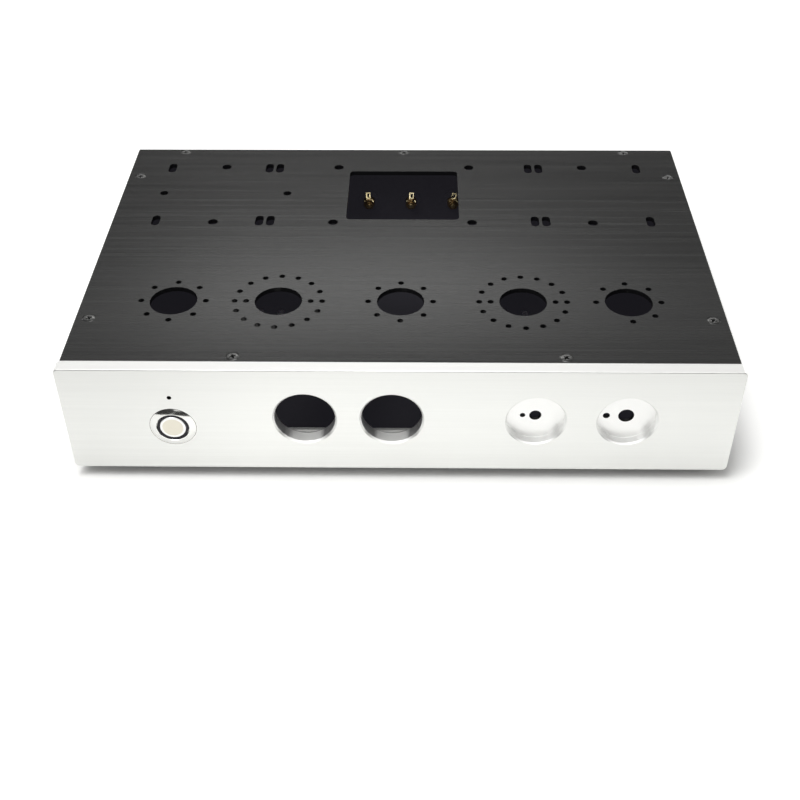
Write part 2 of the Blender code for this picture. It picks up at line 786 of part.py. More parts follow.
# Bottom cover with two fields of vent slots
bottom_cover = add(
    "bottom_cover",
    slab("bottom_cover", (PLATE_WIDTH, PLATE_DEPTH - GAP, COVER_THICKNESS), corner=PLATE_CORNER),
    place(0.0, PLATE_DEPTH / 2 + GAP / 2, PANEL_HEIGHT - COVER_THICKNESS / 2),
    ZERO,
    "black",
)
vents = []
vent_size = (COVER_VENT_WIDTH, COVER_VENT_LENGTH, COVER_THICKNESS + 2 * OVERCUT)
vent_corner = COVER_VENT_WIDTH / 4
vent_field = (COVER_VENT_COUNT - 1) * COVER_VENT_PITCH
for side in (-1, 1):
    field_start = side * COVER_VENT_SHARE * HALF_WIDTH - vent_field / 2
    for index in range(COVER_VENT_COUNT):
        vents.append(
            add(
                "vent",
                slab("vent", vent_size, corner=vent_corner, segments=VENT_SEGMENTS),
                place(
                    field_start + index * COVER_VENT_PITCH,
                    PLATE_DEPTH / 2,
                    PANEL_HEIGHT - COVER_THICKNESS / 2,
                ),
            )
        )
cut(bottom_cover, merged("cover_vents", vents))
foot_spots = [(side * foot_x, depth) for depth in FOOT_DEPTH for side in (-1, 1)]
cover_holes = [
    (
        place(x, depth, PANEL_HEIGHT - COVER_THICKNESS / 2),
        SHAFT_HOLE_RADIUS,
        SHAFT_HOLE_RADIUS,
        COVER_THICKNESS + 2 * OVERCUT,
        FACETS_FINE,
    )
    for x, depth in foot_spots
]
cut(bottom_cover, drills("cover_bores", cover_holes))
settle(bottom_cover)

# Angles behind the panel, each with the four screws that hold the panel
angle_width = 2 * INNER_HALF_WIDTH


def panel_angle(name, leg, drop, upright, screw_drop, look):
    """An L section against the panel: upright is 1 where its leg stands up and -1 where it hangs down."""
    item = add(
        name,
        slab(name, (angle_width, ANGLE_THICKNESS, leg)),
        place(0.0, GAP + ANGLE_THICKNESS / 2, drop - upright * leg / 2),
        ZERO,
        look,
    )
    shelf = add(
        name + "_shelf",
        slab(name + "_shelf", (angle_width, leg, ANGLE_THICKNESS)),
        place(0.0, GAP + leg / 2, drop - upright * ANGLE_THICKNESS / 2),
    )
    cut(item, shelf, "UNION")
    rear_face = GAP + ANGLE_THICKNESS
    screw_shape = (
        (0.0, PANEL_HEAD_HEIGHT),
        (PANEL_HEAD_RADIUS, PANEL_HEAD_HEIGHT),
        (PANEL_HEAD_RADIUS, -ANGLE_THICKNESS / 2),
        (SCREW_RADIUS, -ANGLE_THICKNESS / 2),
        (SCREW_RADIUS, -rear_face - PANEL_SCREW_BITE),
        (0.0, -rear_face - PANEL_SCREW_BITE),
    )
    screws = []
    for x in PANEL_SCREW_X:
        spot = place(x, rear_face, screw_drop)
        screws.append(turned(name + "_screw", screw_shape, FACETS_FINE, spot, FACING_REAR))
    cut(item, merged(name + "_screws", screws), "UNION")
    return item


lower_angle = panel_angle(
    "front_angle_lower", LOWER_ANGLE_LEG, SHEET_BOTTOM, 1, lower_screw_drop, "bare"
)
notch_width = 2 * NUT_RADIUS + 2 * SHEET
notch_depth = SHEET_BOTTOM - SWITCH_DROP - NUT_RADIUS - SHEET / 2
switch_notch_size = (notch_width, ANGLE_THICKNESS + 2 * OVERCUT, LOWER_ANGLE_LEG)
switch_notch = add(
    "switch_notch",
    slab("switch_notch", switch_notch_size, axis=1, corner=SHEET),
    place(
        SWITCH_X,
        GAP + ANGLE_THICKNESS / 2,
        SHEET_BOTTOM - notch_depth - LOWER_ANGLE_LEG / 2,
    ),
)
cut(lower_angle, switch_notch)
settle(lower_angle)
upper_angle = panel_angle(
    "front_angle_upper", UPPER_ANGLE_LEG, SHEET_TOP, -1, upper_screw_drop, "black"
)
upper_holes = [
    (
        place(x, FRONT_SCREW_DEPTH, SHEET_TOP + ANGLE_THICKNESS / 2),
        SHAFT_HOLE_RADIUS,
        SHAFT_HOLE_RADIUS,
        ANGLE_THICKNESS + 2 * OVERCUT,
        FACETS_FINE,
    )
    for x in FRONT_SCREW_X
]
cut(upper_angle, drills("upper_angle_holes", upper_holes))
settle(upper_angle)

# Feet and their screws
foot_top = FOOT_HEIGHT - GAP
foot_profile = (
    (SHAFT_HOLE_RADIUS, foot_top),
    (FOOT_RADIUS, foot_top),
    (FOOT_RADIUS - FOOT_TAPER, 0.0),
    (FOOT_BORE_RADIUS, 0.0),
    (FOOT_BORE_RADIUS, foot_top - FOOT_WEB),
    (SHAFT_HOLE_RADIUS, foot_top - FOOT_WEB),
)
head_seat = foot_top - FOOT_WEB - GAP
foot_screw_tip = FOOT_HEIGHT + COVER_THICKNESS + GAP + SHEET + OVERCUT
foot_screw_profile = (
    (0.0, foot_screw_tip),
    (SCREW_RADIUS, foot_screw_tip),
    (SCREW_RADIUS, head_seat),
    (FOOT_SCREW_HEAD_RADIUS, head_seat),
    (FOOT_SCREW_HEAD_RADIUS, head_seat - FOOT_SCREW_HEAD_HEIGHT),
    (0.0, head_seat - FOOT_SCREW_HEAD_HEIGHT),
)
for index, (x, depth) in enumerate(foot_spots):
    spot = place(x, depth, TOP)
    foot = turned(f"foot_{index + 1}", foot_profile, FACETS_SMALL, spot, ZERO, "rubber")
    settle(foot)
    foot_screw = turned(f"foot_screw_{index + 1}", foot_screw_profile, FACETS_FINE, spot, ZERO, "screw")
    slot_spot = Vector(spot)
    slot_spot.z = head_seat - FOOT_SCREW_HEAD_HEIGHT
    driver_slot = add("driver_slot", slab("driver_slot", cross_size), slot_spot)
    cut(foot_screw, driver_slot)
    settle(foot_screw)

# Power switch: heights count outwards from the panel's face
ledge = BEZEL_PROUD - HALO_SUNK - HALO_HEIGHT - GAP
well_floor = BEZEL_PROUD - BUTTON_SUNK - BUTTON_HEIGHT - BUTTON_TRAVEL - GAP
stem_floor = well_floor - STEM_LENGTH
switch_end = -BARREL_LENGTH - SWITCH_BODY_LENGTH
switch_spot = place(SWITCH_X, -PANEL_THICKNESS, SWITCH_DROP)
switch_profile = (
    (0.0, stem_floor),
    (STEM_RADIUS + GAP, stem_floor),
    (STEM_RADIUS + GAP, well_floor),
    (BUTTON_RADIUS + GAP, well_floor),
    (BUTTON_RADIUS + GAP, ledge),
    (HALO_RADIUS + GAP, ledge),
    (HALO_RADIUS + GAP, BEZEL_PROUD),
    (BEZEL_RADIUS - BEZEL_SLOPE, BEZEL_PROUD),
    (BEZEL_RADIUS, BEZEL_EDGE),
    (BEZEL_RADIUS, GAP),
    (BARREL_RADIUS, GAP),
    (BARREL_RADIUS, -BARREL_LENGTH),
    (SWITCH_BODY_RADIUS, -BARREL_LENGTH),
    (SWITCH_BODY_RADIUS, switch_end),
    (0.0, switch_end),
)
switch_body = turned("switch_body", switch_profile, FACETS_MEDIUM, switch_spot, FACING_FRONT, "steel")
settle(switch_body)
halo_top = BEZEL_PROUD - HALO_SUNK
halo_profile = (
    (BUTTON_RADIUS + GAP, halo_top),
    (HALO_RADIUS, halo_top),
    (HALO_RADIUS, halo_top - HALO_HEIGHT),
    (BUTTON_RADIUS + GAP, halo_top - HALO_HEIGHT),
)
halo = turned("switch_halo", halo_profile, FACETS_MEDIUM, switch_spot, FACING_FRONT, "halo")
settle(halo)
button_top = BEZEL_PROUD - BUTTON_SUNK
button_profile = (
    (0.0, button_top),
    (BUTTON_RADIUS - BUTTON_EDGE, button_top),
    (BUTTON_RADIUS, button_top - BUTTON_EDGE),
    (BUTTON_RADIUS, button_top - BUTTON_HEIGHT),
    (STEM_RADIUS, button_top - BUTTON_HEIGHT),
    (STEM_RADIUS, button_top - BUTTON_HEIGHT - STEM_LENGTH),
    (0.0, button_top - BUTTON_HEIGHT - STEM_LENGTH),
)
button = turned("power_button", button_profile, FACETS_MEDIUM, switch_spot, FACING_FRONT, "steel")
settle(button)
nut_face = -PANEL_THICKNESS - GAP
hexagon = bmesh.new()
bmesh.ops.create_cone(
    hexagon,
    cap_ends=True,
    segments=FACETS_NUT,
    radius1=NUT_RADIUS,
    radius2=NUT_RADIUS,
    depth=NUT_HEIGHT,
    matrix=Matrix.Translation((0.0, 0.0, nut_face - NUT_HEIGHT / 2)),
)
switch_nut = add("switch_nut", to_mesh(hexagon, "switch_nut"), switch_spot, FACING_FRONT, "steel")
nut_bore = [
    (
        place(SWITCH_X, GAP + NUT_HEIGHT / 2, SWITCH_DROP),
        BARREL_RADIUS + GAP,
        BARREL_RADIUS + GAP,
        NUT_HEIGHT + 2 * OVERCUT,
        FACETS_MEDIUM,
    )
]
cut(switch_nut, drills("nut_bore", nut_bore, FACING_FRONT))
settle(switch_nut)

# Binding posts: heights count outwards from the rear wall's outer face
insulator_top = GAP + INSULATOR_HEIGHT
collar_top = insulator_top + GAP + COLLAR_HEIGHT
washer_base = collar_top + GAP
washer_top = washer_base + WASHER_HEIGHT
cap_base = washer_top + GAP
cap_top = cap_base + CAP_LENGTH
post_top = collar_top + POST_LENGTH
wall_inside = -SHEET - GAP
inner_insulator_base = wall_inside - INNER_INSULATOR_HEIGHT
nut_top = inner_insulator_base - GAP
lug_face = nut_top - POST_NUT_HEIGHT - GAP
lock_nut_top = lug_face - LUG_THICKNESS - GAP
stud_end = -SHEET - STUD_LENGTH
stud_profile = (
    (0.0, post_top - PLUG_HOLE_DEPTH),
    (PLUG_HOLE_RADIUS, post_top - PLUG_HOLE_DEPTH),
    (PLUG_HOLE_RADIUS, post_top),
    (POST_RADIUS, post_top),
    (POST_RADIUS, collar_top),
    (COLLAR_RADIUS, collar_top),
    (COLLAR_RADIUS, collar_top - COLLAR_HEIGHT),
    (STUD_RADIUS, collar_top - COLLAR_HEIGHT),
    (STUD_RADIUS, nut_top),
    (POST_NUT_RADIUS, nut_top),
    (POST_NUT_RADIUS, nut_top - POST_NUT_HEIGHT),
    (STUD_RADIUS, nut_top - POST_NUT_HEIGHT),
    (STUD_RADIUS, lock_nut_top),
    (LOCK_NUT_RADIUS, lock_nut_top),
    (LOCK_NUT_RADIUS, lock_nut_top - LOCK_NUT_HEIGHT),
    (STUD_RADIUS, lock_nut_top - LOCK_NUT_HEIGHT),
    (STUD_RADIUS, stud_end),
    (0.0, stud_end),
)
stud_bore = STUD_RADIUS + GAP
insulator_profile = (
    (stud_bore, insulator_top),
    (INSULATOR_RADIUS, insulator_top),
    (INSULATOR_RADIUS, GAP),
    (INSULATOR_SPIGOT, GAP),
    (INSULATOR_SPIGOT, -SHEET),
    (stud_bore, -SHEET),
)
inner_insulator_profile = (
    (stud_bore, wall_inside),
    (INNER_INSULATOR_RADIUS, wall_inside),
    (INNER_INSULATOR_RADIUS, inner_insulator_base),
    (stud_bore, inner_insulator_base),
)
washer_profile = (
    (POST_RADIUS + GAP, washer_top),
    (COLLAR_RADIUS, washer_top),
    (COLLAR_RADIUS, washer_base),
    (POST_RADIUS + GAP, washer_base),
)
cap_hollow = post_top + CAP_SPARE_DEPTH
cap_profile = (
    (CAP_END_HOLE_RADIUS, cap_top),
    (CAP_RADIUS - CAP_EDGE, cap_top),
    (CAP_RADIUS, cap_top - CAP_EDGE),
    (CAP_RADIUS, cap_base),
    (POST_RADIUS + GAP, cap_base),
    (POST_RADIUS + GAP, cap_hollow),
    (CAP_END_HOLE_RADIUS, cap_hollow),
)
groove_top = cap_top + OVERCUT
groove_base = cap_base + WASHER_HEIGHT
groove_length = groove_top - groove_base
for index, x in enumerate(post_x):
    number = index + 1
    spot = place(x, WALL_OUTER, POST_DROP)
    stud = turned(f"post_stud_{number}", stud_profile, FACETS_POST, spot, FACING_REAR, "gold")
    settle(stud)
    insulator = turned(
        f"post_insulator_{number}", insulator_profile, FACETS_POST, spot, FACING_REAR, "plastic"
    )
    settle(insulator)
    inner_insulator = turned(
        f"post_inner_insulator_{number}",
        inner_insulator_profile,
        FACETS_POST,
        spot,
        FACING_REAR,
        "plastic",
    )
    settle(inner_insulator)
    washer = turned(f"post_washer_{number}", washer_profile, FACETS_POST, spot, FACING_REAR, "gold")
    settle(washer)
    cap_look = "red" if index % 2 else "plastic"
    cap = turned(f"post_cap_{number}", cap_profile, FACETS_SMALL, spot, FACING_REAR, cap_look)
    grooves = []
    for step in range(CAP_GROOVES):
        angle = math.tau * (step + 0.5) / CAP_GROOVES
        centre = Vector(spot)
        centre.x += (CAP_RADIUS + CAP_GROOVE_RADIUS / 2) * math.cos(angle)
        centre.z += (CAP_RADIUS + CAP_GROOVE_RADIUS / 2) * math.sin(angle)
        centre.y += (groove_top + groove_base) / 2
        grooves.append((centre, CAP_GROOVE_RADIUS, CAP_GROOVE_RADIUS, groove_length, FACETS_GROOVE))
    cut(cap, drills(f"cap_grooves_{number}", grooves, FACING_REAR))
    settle(cap)

    # The lug is a stamped ring between the two nuts, its tongue leaning towards the wall
    lug_turn = math.radians(LUG_TURNS[index])
    ring_profile = (
        (stud_bore, lug_face),
        (LUG_RING_RADIUS, lug_face),
        (LUG_RING_RADIUS, lug_face - LUG_THICKNESS),
        (stud_bore, lug_face - LUG_THICKNESS),
    )
    lug = turned(f"post_lug_{number}", ring_profile, FACETS_POST, spot, FACING_REAR, "gold")
    tongue = folded(
        "tongue",
        [(-run, rise) for run, rise in LUG_PATH],
        LUG_WIDTH,
        LUG_THICKNESS,
        None,
        ZERO,
        bend=LUG_THICKNESS,
    )
    settle(tongue)
    tongue.matrix_basis = (
        Matrix.Translation(spot + Vector((0.0, lug_face, 0.0))) @ Matrix.Rotation(lug_turn, 4, "Y")
    )
    cut(lug, tongue, "UNION")
    settle(lug)

# Phono sockets
phono_base = GAP
phono_flange_top = phono_base + PHONO_FLANGE_HEIGHT
phono_top = phono_flange_top + PHONO_LENGTH
phono_profile = (
    (0.0, phono_top - PHONO_BORE_DEPTH),
    (PHONO_BORE_RADIUS, phono_top - PHONO_BORE_DEPTH),
    (PHONO_BORE_RADIUS, phono_top),
    (PHONO_RADIUS, phono_top),
    (PHONO_RADIUS, phono_flange_top),
    (PHONO_FLANGE_RADIUS, phono_flange_top),
    (PHONO_FLANGE_RADIUS, phono_base),
    (PHONO_THREAD_RADIUS, phono_base),
    (PHONO_THREAD_RADIUS, -PHONO_THREAD_LENGTH),
    (0.0, -PHONO_THREAD_LENGTH),
)
for index, (x, drop) in enumerate(phono_places):
    socket = turned(
        f"phono_socket_{index + 1}",
        phono_profile,
        FACETS_POST,
        place(x, WALL_OUTER, drop),
        FACING_REAR,
        "gold",
    )
    settle(socket)

# Mains inlet: a flanged housing with three flat pins in its pocket
flange_width, flange_height, flange_thickness = INLET_FLANGE
body_width, body_height, body_length = INLET_BODY
pocket_width, pocket_height, pocket_depth = INLET_POCKET
pin_thickness, pin_width, pin_length = INLET_PIN
flange_face = WALL_OUTER + GAP + flange_thickness
inlet = add(
    "mains_inlet",
    slab(
        "mains_inlet",
        (flange_width, flange_thickness, flange_height),
        axis=1,
        corner=INLET_CORNER,
    ),
    place(INLET_X, flange_face - flange_thickness / 2, INLET_DROP),
    ZERO,
    "plastic",
)
inlet_body = add(
    "inlet_body",
    slab(
        "inlet_body",
        (body_width, body_length + flange_thickness / 2, body_height),
        axis=1,
        corner=INLET_CORNER,
    ),
    place(INLET_X, flange_face - flange_thickness / 2 - (body_length + flange_thickness / 2) / 2, INLET_DROP),
)
cut(inlet, inlet_body, "UNION")
inlet_pocket = add(
    "inlet_pocket",
    slab(
        "inlet_pocket",
        (pocket_width, pocket_depth + OVERCUT, pocket_height),
        axis=1,
        corner=INLET_CORNER / 2,
    ),
    place(INLET_X, flange_face + OVERCUT / 2 - pocket_depth / 2, INLET_DROP),
)
cut(inlet, inlet_pocket)
inlet_bores = [
    (
        place(INLET_X + side * INLET_SCREW_SPREAD, flange_face - flange_thickness / 2, INLET_DROP),
        inlet_screw_hole,
        inlet_screw_hole,
        flange_thickness + 2 * OVERCUT,
        FACETS_FINE,
    )
    for side in (-1, 1)
]
cut(inlet, drills("inlet_bores", inlet_bores, FACING_FRONT))
pins = []
for x_offset, rise in (
    (-INLET_PIN_SPREAD, -INLET_PIN_DROP),
    (0.0, INLET_EARTH_RISE),
    (INLET_PIN_SPREAD, -INLET_PIN_DROP),
):
    pins.append(
        add(
            "pin",
            slab("pin", (pin_thickness, pin_length + OVERCUT / 2, pin_width)),
            place(
                INLET_X + x_offset,
                flange_face - pocket_depth + (pin_length - OVERCUT / 2) / 2,
                INLET_DROP - rise,
            ),
        )
    )
cut(inlet, merged("inlet_pins", pins), "UNION")
settle(inlet)
inlet_screw_profile = (
    (0.0, GAP + INLET_HEAD_HEIGHT),
    (INLET_HEAD_RADIUS, GAP + INLET_HEAD_HEIGHT),
    (INLET_HEAD_RADIUS, GAP),
    (INLET_SCREW_RADIUS, GAP),
    (INLET_SCREW_RADIUS, -INLET_SCREW_LENGTH),
    (0.0, -INLET_SCREW_LENGTH),
)
for side, name in ((-1, "inlet_screw_left"), (1, "inlet_screw_right")):
    inlet_screw = turned(
        name,
        inlet_screw_profile,
        FACETS_FINE,
        place(INLET_X + side * INLET_SCREW_SPREAD, flange_face, INLET_DROP),
        FACING_REAR,
        "steel",
    )
    settle(inlet_screw)

print("amplifier chassis:", len(parts.objects), "pieces")
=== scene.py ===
# %% [markdown]
# # A valve amplifier's chassis, dressed for its picture
# The solids of this chassis are already made: plates, bent walls, screws, a push button and the
# sockets on the rear. This lesson gives each of them its finish, turns and stamps the small pieces
# that catch the light again in finer form, and sets up the camera, the lamps and the floor.
#
# Lengths are in metres, the front faces minus Y and up is Z.

# %% Load the solids
import math

import bpy
from mathutils import Matrix, Vector


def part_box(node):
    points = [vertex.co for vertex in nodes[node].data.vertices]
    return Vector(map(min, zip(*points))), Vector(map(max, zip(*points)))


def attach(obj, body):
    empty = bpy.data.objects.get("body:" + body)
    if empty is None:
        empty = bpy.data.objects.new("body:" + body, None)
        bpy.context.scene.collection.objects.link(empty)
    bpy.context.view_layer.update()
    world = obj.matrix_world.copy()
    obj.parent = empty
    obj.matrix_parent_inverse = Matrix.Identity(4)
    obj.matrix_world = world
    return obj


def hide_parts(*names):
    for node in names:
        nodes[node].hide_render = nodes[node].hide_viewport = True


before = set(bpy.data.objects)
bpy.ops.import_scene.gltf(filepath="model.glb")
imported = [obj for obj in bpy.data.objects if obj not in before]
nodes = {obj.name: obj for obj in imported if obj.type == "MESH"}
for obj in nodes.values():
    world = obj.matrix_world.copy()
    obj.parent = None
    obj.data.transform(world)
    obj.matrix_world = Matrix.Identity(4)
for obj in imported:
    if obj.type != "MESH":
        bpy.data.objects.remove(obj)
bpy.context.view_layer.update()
bpy.ops.object.select_all(action="DESELECT")

# %% [markdown]
# ## The camera
# The picture was taken from in front and above, looking down at forty degrees, with a short
# telephoto lens. The camera's place was worked out from the holes of the chassis: their true
# positions are known, so only one place and one focal length put them all where the picture has
# them. The distances are counted from the middle of the panel's rear top edge.

# %% Camera
PICTURE_WIDTH = 800
FOCAL_PIXELS = 1177.01
SENSOR_WIDTH = 36
panel_low, panel_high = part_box("front_panel")
plate_low, plate_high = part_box("top_plate")
plate_edge = Vector((0.0, panel_high.y, plate_high.z))
camera_place = plate_edge + Vector((0.00975, -0.50841, 0.40084))
yaw, pitch, roll = -0.0185, 0.6995, -0.0067
forward = Vector(
    (math.sin(yaw) * math.cos(pitch), math.cos(yaw) * math.cos(pitch), -math.sin(pitch))
)
level = Vector((math.cos(yaw), -math.sin(yaw), 0.0))
upright = level.cross(forward)
right = level * math.cos(roll) + upright * math.sin(roll)
up = upright * math.cos(roll) - level * math.sin(roll)
camera_data = bpy.data.cameras.new("picture_camera")
camera_data.lens = FOCAL_PIXELS / PICTURE_WIDTH * SENSOR_WIDTH
camera_data.sensor_width = SENSOR_WIDTH
camera = bpy.data.objects.new("picture_camera", camera_data)
bpy.context.scene.collection.objects.link(camera)
turn = Matrix((right, up, -forward)).transposed().to_4x4()
camera.matrix_world = Matrix.Translation(camera_place) @ turn
bpy.context.scene.camera = camera
print("lens:", round(camera_data.lens, 2), "mm")

# %% [markdown]
# ## Helpers for the patterns
# Every finish here is built from a few small steps: coordinates counted from a chosen centre, noise
# stretched along a direction, a value carried from one range to another, and two colours mixed by
# it. Each helper adds one such step to a material's node tree and hands back its output.

# %% Helpers for the patterns
ORIGIN = (0.0, 0.0, 0.0)


def new_material(name):
    """An empty Principled material with its node tree and shader."""
    material = bpy.data.materials.new(name)
    material.use_nodes = True
    tree = material.node_tree
    return material, tree, tree.nodes["Principled BSDF"]


def fixed(shader, values):
    """Sets plain values on a shader's own sockets."""
    for name, value in values.items():
        shader.inputs[name].default_value = value


def spaced(tree, stretch, centre=ORIGIN):
    """Object coordinates, moved to a centre and stretched per axis."""
    coordinates = tree.nodes.new("ShaderNodeTexCoord")
    move = tree.nodes.new("ShaderNodeVectorMath")
    move.operation = "SUBTRACT"
    move.inputs[1].default_value = centre
    scale = tree.nodes.new("ShaderNodeVectorMath")
    scale.operation = "MULTIPLY"
    scale.inputs[1].default_value = stretch
    tree.links.new(coordinates.outputs["Object"], move.inputs[0])
    tree.links.new(move.outputs[0], scale.inputs[0])
    return scale.outputs[0]


def parts_of(tree, vector):
    """The X, Y and Z parts of a vector."""
    node = tree.nodes.new("ShaderNodeSeparateXYZ")
    tree.links.new(vector, node.inputs[0])
    return node.outputs


def facing(tree, kind="True Normal"):
    """The X, Y and Z parts of the direction that the surface faces."""
    return parts_of(tree, tree.nodes.new("ShaderNodeNewGeometry").outputs[kind])


def length_of(tree, vector):
    """The length of a vector."""
    node = tree.nodes.new("ShaderNodeVectorMath")
    node.operation = "LENGTH"
    tree.links.new(vector, node.inputs[0])
    return node.outputs["Value"]


def around(tree, centre, flat):
    """The distance from an axis: flat is 1 for each axis that counts and 0 for the rest."""
    return length_of(tree, spaced(tree, flat, centre))


def sums(tree, operation, first, second):
    """One sum of two values; either may be a plain number."""
    node = tree.nodes.new("ShaderNodeMath")
    node.operation = operation
    for socket, value in zip(node.inputs, (first, second)):
        if isinstance(value, (int, float)):
            socket.default_value = value
        else:
            tree.links.new(value, socket)
    return node.outputs[0]


def times(tree, first, second):
    """Two values multiplied."""
    return sums(tree, "MULTIPLY", first, second)


def plus(tree, first, second):
    """Two values added."""
    return sums(tree, "ADD", first, second)


def away_from(tree, value, centre):
    """How far a value is from a centre, either way."""
    return sums(tree, "ABSOLUTE", plus(tree, value, -centre), 0.0)


def inverse(tree, value):
    """One minus a value."""
    return sums(tree, "SUBTRACT", 1.0, value)


def noise(tree, vector, detail, roughness):
    """Noise between 0 and 1 over a vector, or over coordinates with this stretch."""
    if isinstance(vector, tuple):
        vector = spaced(tree, vector)
    texture = tree.nodes.new("ShaderNodeTexNoise")
    texture.inputs["Scale"].default_value = 1.0
    texture.inputs["Detail"].default_value = detail
    texture.inputs["Roughness"].default_value = roughness
    tree.links.new(vector, texture.inputs["Vector"])
    return texture.outputs["Fac"]


def rings_of(tree, radius, per_metre, detail, roughness):
    """Noise that changes with the radius only, as the marks of a lathe tool do."""
    place = tree.nodes.new("ShaderNodeCombineXYZ")
    tree.links.new(times(tree, radius, per_metre), place.inputs[0])
    return noise(tree, place.outputs[0], detail, roughness)


def layered(tree, fine, broad, share):
    """Two layers of noise added up, the fine one with this share."""
    first = times(tree, fine, share)
    return plus(tree, first, times(tree, broad, 1.0 - share))


def ranged(tree, value, low, high, new_low, new_high, smooth=False):
    """A value carried from one range to another, held at the ends."""
    node = tree.nodes.new("ShaderNodeMapRange")
    node.interpolation_type = "SMOOTHSTEP" if smooth else "LINEAR"
    node.inputs["From Min"].default_value = low
    node.inputs["From Max"].default_value = high
    node.inputs["To Min"].default_value = new_low
    node.inputs["To Max"].default_value = new_high
    tree.links.new(value, node.inputs["Value"])
    return node.outputs["Result"]


def blended(tree, factor, first, second):
    """Two colours mixed by a value; either may be a node's output."""
    node = tree.nodes.new("ShaderNodeMix")
    node.data_type = "RGBA"
    tree.links.new(factor, node.inputs[0])
    for socket, colour in ((node.inputs[6], first), (node.inputs[7], second)):
        if isinstance(colour, tuple):
            socket.default_value = (*colour, 1.0)
        else:
            tree.links.new(colour, socket)
    return node.outputs[2]


def bumped(tree, shader, height, distance):
    """A bump of this depth on the shader's normal."""
    node = tree.nodes.new("ShaderNodeBump")
    node.inputs["Strength"].default_value = 1.0
    node.inputs["Distance"].default_value = distance
    tree.links.new(height, node.inputs["Height"])
    tree.links.new(node.outputs["Normal"], shader.inputs["Normal"])


def by_look(tree, mirrored, seen, unseen):
    """One value for a first look in a mirror, one for the camera and one for all other light."""
    path = tree.nodes.new("ShaderNodeLightPath").outputs
    first_look = sums(tree, "LESS_THAN", path["Diffuse Depth"], 0.5)
    mirror_look = times(tree, path["Is Glossy Ray"], first_look)
    neither = inverse(tree, sums(tree, "MAXIMUM", path["Is Camera Ray"], mirror_look))
    looks = plus(
        tree, times(tree, mirrored, mirror_look), times(tree, seen, path["Is Camera Ray"])
    )
    return plus(tree, looks, times(tree, unseen, neither))


print("helpers ready")

# %% [markdown]
# ## The floor
# The chassis stands on a white sheet. Brighter lamps would burn out the pale aluminium too, so the
# sheet is overexposed only where the camera looks at it: its colour there is far above white, most
# of all far off, and the shadow under the panel's foot still falls to grey.
#
# What the metal mirrors is painted on the sheet as well. For a first look in a mirror the sheet
# turns nearly black a little in front of the chassis, a painted reflection of a dark room: that
# draws the dark arc on the switch's bezel. A narrow pale strip in it is a painted reflection of a
# gap of light and draws the pale break in that arc; the painted reflection also fades a little to
# both sides. Only a first look in a mirror sees this; scattered light meets a plain pale sheet.

# %% Floor
FLOOR_SIZE = 8.0
FLOOR_SEEN = 1.60
FLOOR_FAR_OFF = 6.0
FLOOR_MIRRORED = 1.40
FLOOR_LIT = 0.45
PAINTED_ROOM_REFLECTION = 0.02
DARK_REFLECTION_EDGE = (-0.338, -0.304)
GAP_X = -0.174
bpy.ops.mesh.primitive_plane_add(size=FLOOR_SIZE, location=ORIGIN)
floor = bpy.context.object
floor.name = "floor"
bpy.ops.object.select_all(action="DESELECT")
floor_paper, tree, shader = new_material("floor_paper")
fixed(shader, {"Roughness": 0.9, "Specular IOR Level": 0.1})
floor_x, floor_y, _ = parts_of(tree, spaced(tree, (1.0, 1.0, 1.0)))
# Painted reflection: in mirrors the sheet darkens in front of the chassis, with a pale strip.
painted_reflection = ranged(tree, floor_y, *DARK_REFLECTION_EDGE, PAINTED_ROOM_REFLECTION, FLOOR_MIRRORED, True)
painted_pale_gap = ranged(tree, away_from(tree, floor_x, GAP_X), 0.004, 0.012, 0.40, 0.0, True)
painted_reflection = sums(tree, "MAXIMUM", painted_reflection, painted_pale_gap)
to_the_left = ranged(tree, floor_x, -0.20, -0.06, 0.86, 1.0, True)
to_the_right = ranged(tree, floor_x, 0.0, 0.20, 1.0, 0.95, True)
painted_reflection = times(tree, painted_reflection, sums(tree, "MINIMUM", to_the_left, to_the_right))
distance = around(tree, ORIGIN, (1.0, 1.0, 0.0))
by_distance = ranged(tree, distance, 0.6, 2.6, FLOOR_SEEN, FLOOR_FAR_OFF)
grain = noise(tree, (90.0, 90.0, 90.0), 3.0, 0.5)
lit = times(tree, ranged(tree, grain, 0.3, 0.7, 0.99, 1.0), FLOOR_LIT)
tone = by_look(tree, painted_reflection, by_distance, lit)
paper = tree.nodes.new("ShaderNodeCombineXYZ")
for socket, tint in zip(paper.inputs, (1.0, 1.0, 0.985)):
    tree.links.new(times(tree, tone, tint), socket)
tree.links.new(paper.outputs[0], shader.inputs["Base Color"])
floor.data.materials.append(floor_paper)
print("floor:", floor.name)

# %% [markdown]
# ## The light tent and its lamps
# Two soft lamps make the shadows: a broad one overhead and a weaker one from the front left. The
# tent around them is the world. Its glow depends on the direction, as a mirror on the chassis sees
# it. The rear wall has one bright band at about thirty-five degrees above the floor, strongest a
# little left of the middle: that is the sheen that runs across the black plate and fades to both
# sides. Low down the rear wall is bright again and lights the far rim of each crowned screw head.
# In front the tent is dark near the floor and bright above. As with the floor, only a first look
# in a mirror sees the pattern.


# %% World and lamps
def softbox(name, place, aim, size, power):
    """A rectangular area lamp that looks at a point."""
    lamp_data = bpy.data.lights.new(name, "AREA")
    lamp_data.shape = "RECTANGLE"
    lamp_data.size, lamp_data.size_y = size
    lamp_data.energy = power
    lamp = bpy.data.objects.new(name, lamp_data)
    bpy.context.scene.collection.objects.link(lamp)
    lamp.location = place
    lamp.rotation_euler = (Vector(aim) - Vector(place)).to_track_quat("-Z", "Y").to_euler()


